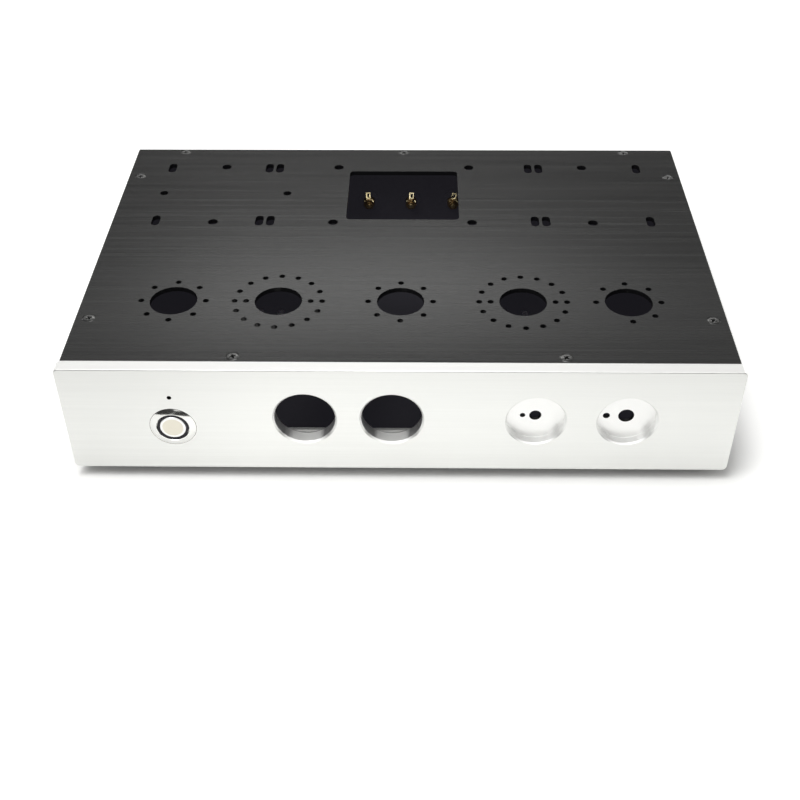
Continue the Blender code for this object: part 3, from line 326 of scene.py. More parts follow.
TENT_SEEN = 1.05
TENT_GLOW = 0.26
WALL_GLOW = 0.50
BAND_GLOW = 5.7
SIDE_GLOW = (0.60, 0.59)
MIDDLE_GLOW = 0.90
world = bpy.data.worlds.new("tent")
bpy.context.scene.world = world
world.use_nodes = True
tent = world.node_tree
background = tent.nodes["Background"]
background.inputs["Color"].default_value = (1.0, 1.0, 0.99, 1.0)
direction = tent.nodes.new("ShaderNodeTexCoord").outputs["Generated"]
sideways, backwards, upwards = parts_of(tent, direction)
left_half = ranged(tent, sideways, -0.30, -0.12, SIDE_GLOW[0], MIDDLE_GLOW, True)
right_half = ranged(tent, sideways, -0.02, 0.27, MIDDLE_GLOW, SIDE_GLOW[1], True)
halves = sums(tent, "MINIMUM", left_half, right_half)
band_foot = ranged(tent, upwards, 0.538, 0.572, 0.0, 1.0, True)
band_head = ranged(tent, upwards, 0.572, 0.606, 1.0, 0.0, True)
band = times(tent, sums(tent, "MINIMUM", band_foot, band_head), BAND_GLOW)
band = times(tent, band, ranged(tent, halves, SIDE_GLOW[1], MIDDLE_GLOW, 0.33, 1.0))
rear_wall = times(tent, halves, plus(tent, band, WALL_GLOW))
rear_low = ranged(tent, upwards, 0.14, 0.36, 1.6, 0.0, True)
low_right = ranged(tent, sideways, 0.05, 0.35, 1.0, 2.0, True)
rear = sums(tent, "MAXIMUM", rear_wall, times(tent, rear_low, low_right))
front_high = ranged(tent, upwards, 0.20, 0.42, 0.06, 1.25, True)
front_slot = ranged(tent, away_from(tent, sideways, 0.01), 0.06, 0.14, 0.80, 0.0, True)
front = sums(tent, "MAXIMUM", front_high, front_slot)
is_front = ranged(tent, backwards, -0.12, 0.12, 1.0, 0.0)
front = times(tent, front, is_front)
rear = times(tent, rear, inverse(tent, is_front))
zenith = ranged(tent, upwards, 0.84, 0.96, 0.0, 2.6, True)
all_round = sums(tent, "MAXIMUM", plus(tent, front, rear), zenith)
strength = by_look(tent, all_round, TENT_SEEN, TENT_GLOW)
tent.links.new(strength, background.inputs["Strength"])
softbox("overhead_lamp", (-0.10, 0.02, 1.3), ORIGIN, (1.2, 0.42), 7.6)
softbox("front_lamp", (-0.6, -0.75, 1.7), (0.0, -0.1, 0.0), (1.2, 1.0), 10.0)
print("lamps:", len(bpy.data.lights))

# %% [markdown]
# ## Painted and brushed walls
# A brushed surface is covered in fine parallel scratches. They are too fine to model, so they are
# painted with noise that is stretched a hundredfold along the brushing: it changes the brightness
# a little, the roughness a little, and tilts the surface by a hair. Two layers, one fine and one
# broad, look more like sanding than one layer does. With the same stretch on all three axes the
# helper gives a fine grain instead, which suits paint, plastic and rubber.
#
# The walls and the cover are painted satin black. They have a trace of light of their own. It
# stands for the light that is scattered in the open box: without it the holes would be pure
# black, where the picture has a dark bluish grey.


# %% Walls and angles
def brushed(
    name, dark, light, rough, metallic=1.0, stretch=(300, 300, 300), depth=0.00001, specular=0.5
):
    """Scratches along the axis with the smallest stretch, over slow patches."""
    material, tree, shader = new_material(name)
    scratches = noise(tree, stretch, 6.0, 0.75)
    broad = noise(tree, tuple(value / 7 for value in stretch), 3.0, 0.6)
    both = layered(tree, scratches, broad, 0.65)
    patches = noise(tree, (6.0, 6.0, 6.0), 2.0, 0.5)
    colour = blended(tree, ranged(tree, both, 0.36, 0.64, 0.0, 1.0), dark, light)
    shade = blended(tree, ranged(tree, patches, 0.3, 0.7, 0.0, 0.25), colour, dark)
    tree.links.new(shade, shader.inputs["Base Color"])
    uneven = ranged(tree, both, 0.3, 0.7, rough - 0.05, rough + 0.05)
    tree.links.new(uneven, shader.inputs["Roughness"])
    fixed(shader, {"Metallic": metallic, "Specular IOR Level": specular})
    bumped(tree, shader, both, depth)
    return material


def wear(material, *names):
    """Puts one material on solids."""
    for name in names:
        nodes[name].data.materials.clear()
        nodes[name].data.materials.append(material)


BOX_LIGHT = (0.0088, 0.0084, 0.0107, 1.0)
satin = brushed(
    "satin_black", (0.045, 0.043, 0.052), (0.062, 0.060, 0.072), 0.62, 0.0, specular=0.12
)
cover_black = brushed(
    "cover_black", (0.012, 0.0115, 0.014), (0.018, 0.0175, 0.021), 0.66, 0.0, specular=0.1
)
for paint in (satin, cover_black):
    shader = paint.node_tree.nodes["Principled BSDF"]
    fixed(shader, {"Emission Color": BOX_LIGHT, "Emission Strength": 1.0})
mill = brushed(
    "mill_aluminium", (0.50, 0.50, 0.495), (0.82, 0.82, 0.81), 0.5, 0.85, (14, 500, 500)
)
wear(satin, "side_panel_left", "side_panel_right", "rear_panel", "front_angle_upper")
wear(cover_black, "bottom_cover")
wear(mill, "front_angle_lower")
print("walls, cover and angles dressed")

# %% [markdown]
# ## The black top plate
# The plate was brushed from left to right and then anodised black. The scratches stay visible as
# thin grey streaks, and slow clouds lie over them. Where a hole was cut the wall is plain and
# darker, so the wall is picked out by its direction: everything that doesn't face up gets the dark
# colour. The sheen is a mirror image of the tent, so the roughness matters more than the colour.

# %% Top plate
black, tree, shader = new_material("black_anodised")
fine = noise(tree, (11.0, 1500.0, 900.0), 7.0, 0.8)
broad = noise(tree, (2.5, 260.0, 200.0), 4.0, 0.7)
cloud = noise(tree, (5.0, 9.0, 5.0), 3.0, 0.5)
streak = layered(tree, fine, broad, 0.6)
streak_tone = ranged(tree, streak, 0.38, 0.62, 0.0, 1.0)
colour = blended(tree, streak_tone, (0.003, 0.003, 0.0032), (0.030, 0.030, 0.0293))
cloud_tone = ranged(tree, cloud, 0.35, 0.65, 0.0, 0.2)
colour = blended(tree, cloud_tone, colour, (0.010, 0.010, 0.0095))
faces_up = ranged(tree, facing(tree)[2], 0.4, 0.6, 0.0, 1.0)
colour = blended(tree, faces_up, (0.012, 0.012, 0.013), colour)
tree.links.new(colour, shader.inputs["Base Color"])
tree.links.new(ranged(tree, streak, 0.35, 0.65, 0.13, 0.20), shader.inputs["Roughness"])
fixed(shader, {"Specular IOR Level": 0.31})
bumped(tree, shader, streak, 0.00002)
wear(black, "top_plate")
print("top plate dressed")

# %% [markdown]
# ## The bare front panel
# The face is brushed aluminium, nearly white in this light. The two round recesses and the two
# meter holes were milled afterwards: their tool marks run in rings round each axis. The material
# finds them by their distance from each axis and tells floor from wall by the direction that the
# surface faces. The walls of the small drilled holes are painted nearly black: painted shade.
# Everything that faces up, the panel's upper edge above all, is painted white and scatters light
# where the face mirrors it: a painted highlight.

# %% Front panel's finish
HALF_WIDTH = plate_high.x
KNOB_AXES = [(HALF_WIDTH - 0.1110, 0.0356), (HALF_WIDTH - 0.0596, 0.0356)]
METER_AXES = [(-0.0534, 0.0348), (-0.0042, 0.0348)]
KNOB_RADIUS = 0.0166
METER_RADIUS = 0.0173
SHAFT_RADII = (0.00345, 0.0045)
PIN_SHIFTS = (-0.0072, -0.0112)
PIN_RADII = (0.00155, 0.0020)
LAMP_BORE = (0.0598 - HALF_WIDTH, 0.0196, 0.0013)
SMALL_BORES = [LAMP_BORE]
for (x, drop), shaft, shift, pin in zip(KNOB_AXES, SHAFT_RADII, PIN_SHIFTS, PIN_RADII):
    SMALL_BORES += [(x, drop, shaft), (x + shift, drop, pin)]
WIDE_BORES = [(x, drop, KNOB_RADIUS + 0.0006) for x, drop in KNOB_AXES]
WIDE_BORES += [(x, drop, METER_RADIUS + 0.0001) for x, drop in METER_AXES]


def panel_axis(tree, x, drop):
    """The distance from a hole's axis through the panel."""
    return around(tree, (x, 0.0, plate_high.z - drop), (1.0, 0.0, 1.0))


bare_aluminium, tree, shader = new_material("bare_aluminium")
fine = noise(tree, (12.0, 900.0, 1700.0), 6.0, 0.75)
broad = noise(tree, (2.0, 120.0, 220.0), 3.0, 0.6)
cloud = noise(tree, (7.0, 7.0, 14.0), 3.0, 0.5)
streak = layered(tree, fine, broad, 0.6)
streak_tone = ranged(tree, streak, 0.35, 0.65, 0.0, 1.0)
face = blended(tree, streak_tone, (0.83, 0.835, 0.815), (0.90, 0.905, 0.885))
face = blended(tree, ranged(tree, cloud, 0.3, 0.7, 0.0, 0.35), face, (0.83, 0.835, 0.82))
in_wide, wide_radius = 0.0, 0.0
for x, drop, radius in WIDE_BORES:
    distance = panel_axis(tree, x, drop)
    inside = ranged(tree, distance, radius, radius + 0.0001, 1.0, 0.0)
    in_wide = sums(tree, "MAXIMUM", in_wide, inside)
    wide_radius = plus(tree, wide_radius, times(tree, distance, inside))
rings = rings_of(tree, wide_radius, 2600.0, 3.0, 0.6)
_, face_y, face_z = facing(tree)
faces_front = ranged(tree, face_y, -0.8, -0.6, 1.0, 0.0)
faces_up = ranged(tree, face_z, 0.8, 0.9, 0.0, 1.0)
turned_floor = times(tree, in_wide, faces_front)
turned_wall = sums(tree, "SUBTRACT", in_wide, turned_floor)
tool_marks = ranged(tree, rings, 0.3, 0.7, 0.0, 1.0)
floor_colour = blended(tree, tool_marks, (0.95, 0.95, 0.94), (1.0, 1.0, 0.99))
wall_colour = blended(tree, tool_marks, (0.92, 0.92, 0.91), (0.98, 0.98, 0.97))
colour = blended(tree, turned_floor, face, floor_colour)
colour = blended(tree, turned_wall, colour, wall_colour)
# Painted highlight: everything that faces up is painted white.
colour = blended(tree, faces_up, colour, (1.0, 1.0, 0.98))
in_small = 0.0
for x, drop, radius in SMALL_BORES:
    distance = panel_axis(tree, x, drop)
    inside = ranged(tree, distance, radius + 0.0001, radius + 0.0002, 1.0, 0.0)
    in_small = sums(tree, "MAXIMUM", in_small, inside)
# Painted shade: the walls of the small holes are painted nearly black.
painted_bore_shade = times(tree, in_small, inverse(tree, faces_front))
colour = blended(tree, painted_bore_shade, colour, (0.05, 0.05, 0.05))
tree.links.new(colour, shader.inputs["Base Color"])
rough_face = ranged(tree, streak, 0.3, 0.7, 0.31, 0.41)
rough_turned = ranged(tree, rings, 0.3, 0.7, 0.34, 0.46)
rough_face = times(tree, rough_face, inverse(tree, in_wide))
rough_turned = times(tree, rough_turned, in_wide)
tree.links.new(plus(tree, rough_face, rough_turned), shader.inputs["Roughness"])
wall_scatter = times(tree, turned_wall, 0.1)
scatter = plus(tree, wall_scatter, times(tree, faces_up, 0.8))
tree.links.new(inverse(tree, scatter), shader.inputs["Metallic"])
bumped(tree, shader, streak, 0.00001)
print("bores found:", len(WIDE_BORES + SMALL_BORES))

# %% [markdown]
# ## Plain small finishes
# The small pieces share a handful of finishes: rubber on the feet, polished steel on the switch,
# gold on the terminals, a paler copy of that gold on the solder lugs, lighter for a painted
# highlight, brass on their nuts, zinc on the inlet's screws and plastic on the insulators and
# caps. They all come from the brushed helper.

# %% Plain small finishes
rubber = brushed(
    "foot_rubber", (0.012, 0.012, 0.012), (0.02, 0.02, 0.02), 0.8, 0.0, (500, 500, 500), 0.00002
)
steel = brushed(
    "polished_steel", (0.84, 0.84, 0.83), (0.92, 0.92, 0.91), 0.11, 1.0, (60, 900, 900), 0.000002
)
gold = brushed("gold_plate", (0.90, 0.66, 0.30), (1.0, 0.84, 0.52), 0.30)
# A lighter copy of the gold, a painted highlight on the solder lugs.
lit_lug_gold = brushed("lit_lug_gold", (0.90, 0.74, 0.40), (1.0, 0.89, 0.60), 0.24)
brass = brushed("nut_brass", (0.40, 0.27, 0.13), (0.60, 0.43, 0.24), 0.30, 1.0, (400, 400, 400))
zinc = brushed(
    "zinc_plate", (0.42, 0.42, 0.43), (0.62, 0.62, 0.60), 0.34, 1.0, (400, 400, 400), 0.000008
)
plastic = brushed(
    "black_plastic", (0.015, 0.015, 0.015), (0.03, 0.03, 0.03), 0.45, 0.0, (900, 900, 900)
)
red_plastic = brushed(
    "red_plastic", (0.35, 0.01, 0.01), (0.50, 0.02, 0.02), 0.4, 0.0, (900, 900, 900)
)
halo_plastic = brushed(
    "halo_plastic", (0.014, 0.010, 0.018), (0.022, 0.016, 0.028),
    0.25, 0.0, depth=0.000005, specular=0.35,
)
BLACK_OR_RED = ((plastic, "black_plastic"), (red_plastic, "red_plastic"))
print("plain finishes: 9")

# %% [markdown]
# ## Black oxide on the screws
# The screws are blackened steel. A screwdriver has worn the crown of each head to a speckled grey,
# while the recess and the rim have kept their black. On the crown the side that faces the back is
# painted lighter and the near side darker: a painted highlight. Two masks tell worn from black:
# the surface must face up, and it must lie close to the crown's top.

# %% Screw oxide
head_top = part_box("top_screw_1")[1].z
oxide, tree, shader = new_material("screw_oxide")
_, oxide_y, oxide_z = facing(tree, "Normal")
height = parts_of(tree, spaced(tree, (1.0, 1.0, 1.0)))[2]
near_top = ranged(tree, height, head_top - 0.00036, head_top - 0.00028, 0.0, 1.0)
worn = times(tree, ranged(tree, oxide_z, 0.80, 0.92, 0.0, 1.0), near_top)
speckle = noise(tree, (2500.0, 2500.0, 2500.0), 4.0, 0.7)
speckle_tone = ranged(tree, speckle, 0.35, 0.65, 0.0, 1.0)
base = blended(tree, speckle_tone, (0.14, 0.14, 0.14), (0.34, 0.34, 0.33))
# Painted highlight: the far side of the crown is lighter, the near side darker.
painted_far_highlight = ranged(tree, oxide_y, -0.14, 0.10, 0.0, 1.0)
base = blended(tree, painted_far_highlight, (0.06, 0.06, 0.06), base)
tree.links.new(blended(tree, worn, (0.004, 0.004, 0.004), base), shader.inputs["Base Color"])
tree.links.new(ranged(tree, speckle, 0.3, 0.7, 0.16, 0.28), shader.inputs["Roughness"])
tree.links.new(ranged(tree, worn, 0.0, 1.0, 0.0, 0.9), shader.inputs["Metallic"])
fixed(shader, {"Specular IOR Level": 0.2})
bumped(tree, shader, speckle, 0.000006)
print("screw oxide ready")

# %% [markdown]
# ## The switch's two steels
# The button's face was turned: fine rings run round its middle, which has a warm cream tone, and
# a white edge surrounds it. The bezel is polished, and its outermost rim is painted dark: painted
# shade where it meets the panel.

# %% Switch finishes
switch_low, switch_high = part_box("power_button")
body_low, body_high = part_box("switch_body")
switch_x = (switch_low.x + switch_high.x) / 2
switch_z = (switch_low.z + switch_high.z) / 2
BEZEL = (body_high.x - body_low.x) / 2


def switch_axis(tree):
    """The distance from the switch's axis."""
    return around(tree, (switch_x, 0.0, switch_z), (1.0, 0.0, 1.0))


button_steel, tree, shader = new_material("button_steel")
radius = switch_axis(tree)
rings = rings_of(tree, radius, 4200.0, 4.0, 0.7)
warm = blended(
    tree, ranged(tree, rings, 0.3, 0.7, 0.0, 1.0), (0.75, 0.71, 0.61), (0.81, 0.77, 0.67)
)
edge = ranged(tree, radius, 0.0056, 0.0064, 0.0, 1.0, True)
tree.links.new(blended(tree, edge, warm, (0.97, 0.97, 0.96)), shader.inputs["Base Color"])
tree.links.new(ranged(tree, rings, 0.3, 0.7, 0.26, 0.36), shader.inputs["Roughness"])
fixed(shader, {"Metallic": 1.0})
bumped(tree, shader, rings, 0.000004)

bezel_steel = brushed(
    "bezel_steel", (0.84, 0.84, 0.83), (0.92, 0.92, 0.91), 0.10, 1.0, (60, 900, 900), 0.000002
)
tree = bezel_steel.node_tree
# Painted shade: the bezel's outermost rim is painted dark where it meets the panel.
painted_seam_shade = ranged(tree, switch_axis(tree), BEZEL - 0.00032, BEZEL - 0.00022, 0.0, 1.0)
polish = blended(tree, painted_seam_shade, (0.88, 0.88, 0.86), (0.06, 0.05, 0.04))
tree.links.new(polish, tree.nodes["Principled BSDF"].inputs["Base Color"])
print("switch finishes: 2")

# %% [markdown]
# ## The small solids get their finish
# Each small solid is dressed by its name, also where a finer piece replaces it further on, so that
# none stays bare if that piece is left out.

# %% Small solids
FINISHES = (
    (("top_screw", "foot_screw"), oxide),
    (("foot_",), rubber),
    (("switch_body", "switch_nut", "inlet_screw"), steel),
    (("power_button",), button_steel),
    (("switch_halo",), halo_plastic),
    (("post_stud", "post_washer", "post_lug", "phono_socket"), gold),
    (("post_inner",), satin),
    (("post_cap_2", "post_cap_4"), red_plastic),
    (("post_", "mains_inlet"), plastic),
)
for name in nodes:
    for beginnings, finish in FINISHES:
        if name.startswith(beginnings):
            wear(finish, name)
            break
print("rules for the small solids:", len(FINISHES))

# %% [markdown]
# ## Helpers for new pieces
# Screws, the switch and the posts are all lathe work. A turned piece starts as one point that is
# drawn into half its outline, out from the axis and along it. Spinning the outline once round the
# axis makes the whole piece, and points that meet are merged. Threads are shown as plain ridges:
# nobody can follow their slope at this size. Plates and blocks start as boxes whose edges are
# bevelled, and holes are cut with exact Booleans. Every piece ends with its object at the origin.

# %% Helpers for new pieces
FACING_FRONT = (math.pi / 2, 0.0, 0.0)
FACING_REAR = (-math.pi / 2, 0.0, 0.0)
STANDING = ORIGIN


def chosen(*pieces):
    """Selects these pieces only, the last one active."""
    bpy.ops.object.select_all(action="DESELECT")
    for piece in pieces:
        piece.select_set(True)
    bpy.context.view_layer.objects.active = pieces[-1]


def set_down(piece, place, rotation=STANDING):
    """Turns a piece, puts it in place and leaves its object at the origin."""
    chosen(piece)
    piece.rotation_euler = rotation
    piece.location = place
    bpy.ops.object.transform_apply(location=True, rotation=True, scale=True)


def smoothed(piece, degrees):
    """Shades a piece smooth across edges flatter than this."""
    chosen(piece)
    bpy.ops.object.shade_smooth_by_angle(angle=math.radians(degrees))


def ridges(count, top, pitch, first, second, fall):
    """Outline points of a ridged shank: two radii in turn, the second this much lower."""
    points = []
    for ridge in range(count):
        points += [(first, top - pitch * ridge), (second, top - fall - pitch * ridge)]
    return points


def spun(name, outline, steps):
    """A turned piece round Z from (radius, height) points."""
    bpy.ops.object.select_all(action="DESELECT")
    bpy.ops.mesh.primitive_plane_add(size=0.001, location=ORIGIN)
    piece = bpy.context.object
    piece.name = name
    bpy.ops.object.mode_set(mode="EDIT")
    bpy.ops.mesh.select_mode(type="VERT")
    bpy.ops.mesh.select_all(action="SELECT")
    bpy.ops.mesh.merge(type="CENTER")
    bpy.ops.transform.translate(value=(outline[0][0], 0.0, outline[0][1]))
    for (radius, height), (next_radius, next_height) in zip(outline, outline[1:]):
        move = (next_radius - radius, 0.0, next_height - height)
        bpy.ops.mesh.extrude_region_move(TRANSFORM_OT_translate={"value": move})
    bpy.ops.mesh.select_all(action="SELECT")
    bpy.ops.mesh.spin(steps=steps, angle=math.tau, center=ORIGIN, axis=(0.0, 0.0, 1.0))
    bpy.ops.mesh.select_all(action="SELECT")
    bpy.ops.mesh.remove_doubles(threshold=0.000002)
    bpy.ops.mesh.normals_make_consistent(inside=False)
    bpy.ops.object.mode_set(mode="OBJECT")
    return piece


def turned(name, outline, steps, degrees, place, rotation=STANDING):
    """A turned piece, shaded and put in place."""
    piece = spun(name, outline, steps)
    smoothed(piece, degrees)
    set_down(piece, place, rotation)
    return piece


def block(name, size, place, rotation=STANDING):
    """A box of this size, turned and put down."""
    bpy.ops.mesh.primitive_cube_add(size=1.0, location=ORIGIN)
    piece = bpy.context.object
    piece.name = name
    piece.scale = size
    bpy.ops.object.transform_apply(location=False, rotation=False, scale=True)
    set_down(piece, place, rotation)
    return piece


def rod(name, radius, depth, place, rotation=STANDING, vertices=40):
    """A cylinder put down with its middle at a place."""
    bpy.ops.mesh.primitive_cylinder_add(
        vertices=vertices, radius=radius, depth=depth, location=ORIGIN
    )
    piece = bpy.context.object
    piece.name = name
    set_down(piece, place, rotation)
    return piece


def along_y(a, b):
    """Whether an edge between these two ends runs along Y."""
    return abs(a.x - b.x) < 0.00001 and abs(a.z - b.z) < 0.00001


def edges_broken(piece, width, segments, test):
    """Bevels the edges whose two ends pass a test."""
    chosen(piece)
    bpy.ops.object.mode_set(mode="EDIT")
    bpy.ops.mesh.select_mode(type="EDGE")
    bpy.ops.mesh.select_all(action="DESELECT")
    bpy.ops.object.mode_set(mode="OBJECT")
    corners = piece.data.vertices
    for edge in piece.data.edges:
        edge.select = test(corners[edge.vertices[0]].co, corners[edge.vertices[1]].co)
    bpy.ops.object.mode_set(mode="EDIT")
    bpy.ops.mesh.bevel(offset=width, segments=segments, affect="EDGES")
    bpy.ops.object.mode_set(mode="OBJECT")


def carved(piece, tools, operation="DIFFERENCE"):
    """Cuts or joins with exact Booleans, applied, and takes the tools away."""
    for tool in tools:
        chosen(piece)
        change = piece.modifiers.new(tool.name, "BOOLEAN")
        change.operation = operation
        change.solver = "EXACT"
        change.object = tool
        bpy.ops.object.modifier_apply(modifier=change.name)
        bpy.data.objects.remove(tool, do_unlink=True)


def softened(piece, width, segments, degrees):
    """Rounds every edge sharper than this a little and shades the rest smooth."""
    chosen(piece)
    change = piece.modifiers.new("edges", "BEVEL")
    change.width = width
    change.segments = segments
    change.limit_method = "ANGLE"
    change.harden_normals = True
    change.angle_limit = math.radians(degrees)
    bpy.ops.object.modifier_apply(modifier=change.name)
    bpy.ops.object.shade_smooth_by_angle(angle=math.radians(30))


def dressed(piece, material, slot, body, *replaced):
    """Gives a piece its material, its body and the solids it stands for. The slot is not used."""
    piece.data.materials.clear()
    piece.data.materials.append(material)
    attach(piece, body)
    if replaced:
        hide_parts(*replaced)


def middle(name):
    """The middle of a solid's box."""
    low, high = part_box(name)
    return (low + high) / 2


print("helpers for new pieces ready")

# %% [markdown]
# ## The milled front panel
# The panel is eight millimetres of aluminium. Its corners are rounded as a mill leaves them and the
# rim of its face is broken. Each hole is cut by one turned tool, as a form drill cuts it: a wide
# cone for the broken rim and a straight part for the bore. With a hundred and twenty-eight steps
# round, the walls carry the light in one smooth streak. Eight blind holes in the rear are tapped
# for the screws of the two angles.

# %% Front panel's shape
PANEL_CORNER = 0.003
PANEL_RIM = 0.0005
METER_CONE = 0.0030
KNOB_CONE = 0.0028
KNOB_DEPTH = 0.0055
SWITCH_BORE = 0.0111
TAPPED_X = (-0.158, -0.0285, 0.0285, 0.158)
TAPPED_DROPS = (0.0103, 0.0601)
TAPPED_RADIUS = 0.0020
TAPPED_DEPTH = 0.0053
PAST = 0.002
thick = panel_high.y - panel_low.y
panel_face = panel_low.y
tools = []


def drilled(name, x, drop, outline, steps):
    """One turned tool, pointed into the panel's face."""
    tool = spun(name, outline, steps)
    set_down(tool, (x, panel_face, plate_high.z - drop), FACING_FRONT)
    tools.append(tool)


panel = block(
    "milled_panel", tuple(panel_high - panel_low), tuple((panel_low + panel_high) / 2)
)
edges_broken(panel, PANEL_CORNER, 10, along_y)
edges_broken(panel, PANEL_RIM, 2, lambda a, b: max(a.y, b.y) < panel_face + 0.0001)
through = -thick - PAST
for x, drop in METER_AXES:
    outline = [
        (0.0, PAST), (METER_RADIUS + METER_CONE, PAST), (METER_RADIUS, -0.0010),
        (METER_RADIUS, through), (0.0, through),
    ]
    drilled("meter_tool", x, drop, outline, 128)
for x, drop in KNOB_AXES:
    outline = [
        (0.0, PAST), (KNOB_RADIUS + KNOB_CONE, PAST), (KNOB_RADIUS, -0.0008),
        (KNOB_RADIUS, 0.0001 - KNOB_DEPTH), (KNOB_RADIUS - 0.0001, -KNOB_DEPTH),
        (0.0, -KNOB_DEPTH),
    ]
    drilled("knob_tool", x, drop, outline, 128)
for x, drop, radius in [(switch_x, plate_high.z - switch_z, SWITCH_BORE), *SMALL_BORES]:
    outline = [(0.0, PAST), (radius, PAST), (radius, through), (0.0, through)]
    drilled("bore_tool", x, drop, outline, 64)
for x in TAPPED_X:
    for drop in TAPPED_DROPS:
        place = (x, panel_high.y - TAPPED_DEPTH / 2 + 0.0005, plate_high.z - drop)
        tap = rod("tapping_tool", TAPPED_RADIUS, TAPPED_DEPTH + 0.001, place, FACING_FRONT, 24)
        tools.append(tap)
carved(panel, tools)
smoothed(panel, 14)
dressed(panel, bare_aluminium, "bare_aluminium", "root", "front_panel")
print("front panel:", len(panel.data.polygons), "faces")

# %% [markdown]
# ## The nine plate screws
# Each screw has a countersunk head with a cross recess. Such a head isn't truly flat: it crowns by
# four tenths of a millimetre, so its far side mirrors the bright tent wall as a pale arc, which the
# oxide's painted highlight makes paler still. The head, its cone and a ridged shank are turned in
# one go. The recess is cut with a cross whose arms narrow downwards, and its rim is rounded, as a
# used screw's is. One screw is made and copied, and the recesses point anywhere, as a screwdriver
# leaves them.


# %% Plate screws
def twin(piece, name, shift, spin):
    """A copy with a mesh of its own, turned round Z and moved."""
    copy = piece.copy()
    copy.data = piece.data.copy()
    copy.name = name
    bpy.context.scene.collection.objects.link(copy)
    copy.data.transform(Matrix.Rotation(spin, 4, "Z"))
    copy.data.transform(Matrix.Translation(shift))
    return copy


low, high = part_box("top_screw_1")
HEAD = (high.x - low.x) / 2
CROWN = 0.00030
CROSS_ARM = (0.0046, 0.00115, 0.0030)
CROSS_TURNS = (12, 40, 75, 30, 58, 5, 66, 22, 48)
outline = [
    (0.0, CROWN), (0.5 * HEAD, CROWN - 0.00001), (0.68 * HEAD, CROWN - 0.00005),
    (0.82 * HEAD, CROWN - 0.00014), (0.94 * HEAD, CROWN - 0.00027),
    (HEAD, CROWN - 0.00042), (0.0018, -0.0021),
    *ridges(10, -0.0026, 0.0007, 0.00150, 0.00168, 0.00035),
    (0.0013, -0.0099), (0.0, -0.0099),
]
screw = spun("screw_pattern", outline, 48)
arms = []
for quarter in range(2):
    arm = block(f"arm_{quarter}", CROSS_ARM, ORIGIN)
    bpy.ops.object.mode_set(mode="EDIT")
    bpy.ops.mesh.select_all(action="DESELECT")
    bpy.ops.mesh.select_mode(type="FACE")
    bpy.ops.object.mode_set(mode="OBJECT")
    for face_of_arm in arm.data.polygons:
        face_of_arm.select = face_of_arm.normal.z < -0.5
    bpy.ops.object.mode_set(mode="EDIT")
    bpy.ops.transform.resize(value=(0.45, 0.7, 1.0), center_override=ORIGIN)
    bpy.ops.object.mode_set(mode="OBJECT")
    set_down(arm, ORIGIN, (0.0, 0.0, quarter * math.pi / 2))
    arms.append(arm)
carved(screw, arms)
softened(screw, 0.00009, 2, 40.0)
for number, cross in enumerate(CROSS_TURNS, 1):
    spot = middle(f"top_screw_{number}")
    place = (spot.x, spot.y, head_top - CROWN)
    copy = twin(screw, f"plate_screw_{number}", place, math.radians(cross))
    dressed(copy, oxide, "black_screw", "root", f"top_screw_{number}")
bpy.data.objects.remove(screw, do_unlink=True)
print("plate screws:", len(CROSS_TURNS))

# %% [markdown]
# ## The power switch
# A bezel of polished steel stands a millimetre proud of the panel. Its rim slopes down to the
# panel, and a dark ring that can glow lies between it and the button. The bezel and its threaded
# barrel are one turned piece, with a rounded lip round the ring. The button's face is dished by a
# fifth of a millimetre, which gives it a soft gradient. It rides on the button's own body, so it
# goes in when the button is pressed.

# %% Power switch
halo_low, halo_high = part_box("switch_halo")
RING_OUT = (halo_high.x - halo_low.x) / 2
BUTTON = (switch_high.x - switch_low.x) / 2
BARREL = 0.0108
proud = panel_face - body_low.y
switch_place = (switch_x, panel_face, switch_z)
outline = [
    (0.0, proud - 0.0135), (0.0033, proud - 0.0135), (0.0033, proud - 0.0068),
    (BUTTON + 0.0003, proud - 0.0068), (BUTTON + 0.0003, proud - 0.0029),
    (RING_OUT + 0.0003, proud - 0.0029), (RING_OUT + 0.0003, proud - 0.00020),
    (RING_OUT + 0.00040, proud - 0.00004), (RING_OUT + 0.0006, proud),
    (RING_OUT + 0.00075, proud - 0.00003), (BEZEL - 0.0001, 0.00003),
    (BEZEL, -0.00003), (BEZEL - 0.0001, -0.0001), (BARREL, -0.0001),
    *ridges(18, -0.0094, 0.001, BARREL, BARREL - 0.0005, 0.0005),
    (BARREL, -0.0279), (0.0088, -0.0280), (0.0088, -0.0396),
    (0.0084, -0.0400), (0.0, -0.0400),
]
bezel = turned("switch_bezel", outline, 128, 24, switch_place, FACING_FRONT)
dressed(bezel, bezel_steel, "switch_steel", "root", "switch_body")

ring_top = proud - (halo_low.y - body_low.y)
ring_in = BUTTON + 0.00032
outline = [
    (ring_in, ring_top - 0.0001), (BUTTON + 0.00045, ring_top),
    (RING_OUT - 0.00015, ring_top), (RING_OUT, ring_top - 0.00015),
    (RING_OUT, ring_top - 0.0023), (ring_in, ring_top - 0.0023), (ring_in, ring_top - 0.0001),
]
ring = turned("switch_ring", outline, 128, 30, switch_place, FACING_FRONT)
dressed(ring, halo_plastic, "switch_halo", "root", "switch_halo")

disc_top = proud - (switch_low.y - body_low.y)
outline = [
    (0.0, disc_top - 0.00022), (0.3 * BUTTON, disc_top - 0.00020),
    (0.6 * BUTTON, disc_top - 0.00014), (0.85 * BUTTON, disc_top - 0.00003),
    (BUTTON - 0.00045, disc_top), (BUTTON - 0.00015, disc_top - 0.00009),
    (BUTTON, disc_top - 0.0003), (BUTTON, disc_top - 0.0033), (0.003, disc_top - 0.0033),
    (0.003, disc_top - 0.0099), (0.0, disc_top - 0.0099),
]
disc = turned("button_disc", outline, 128, 30, switch_place, FACING_FRONT)
dressed(disc, button_steel, "button_steel", "button", "power_button")
print("switch: bezel, ring and disc")

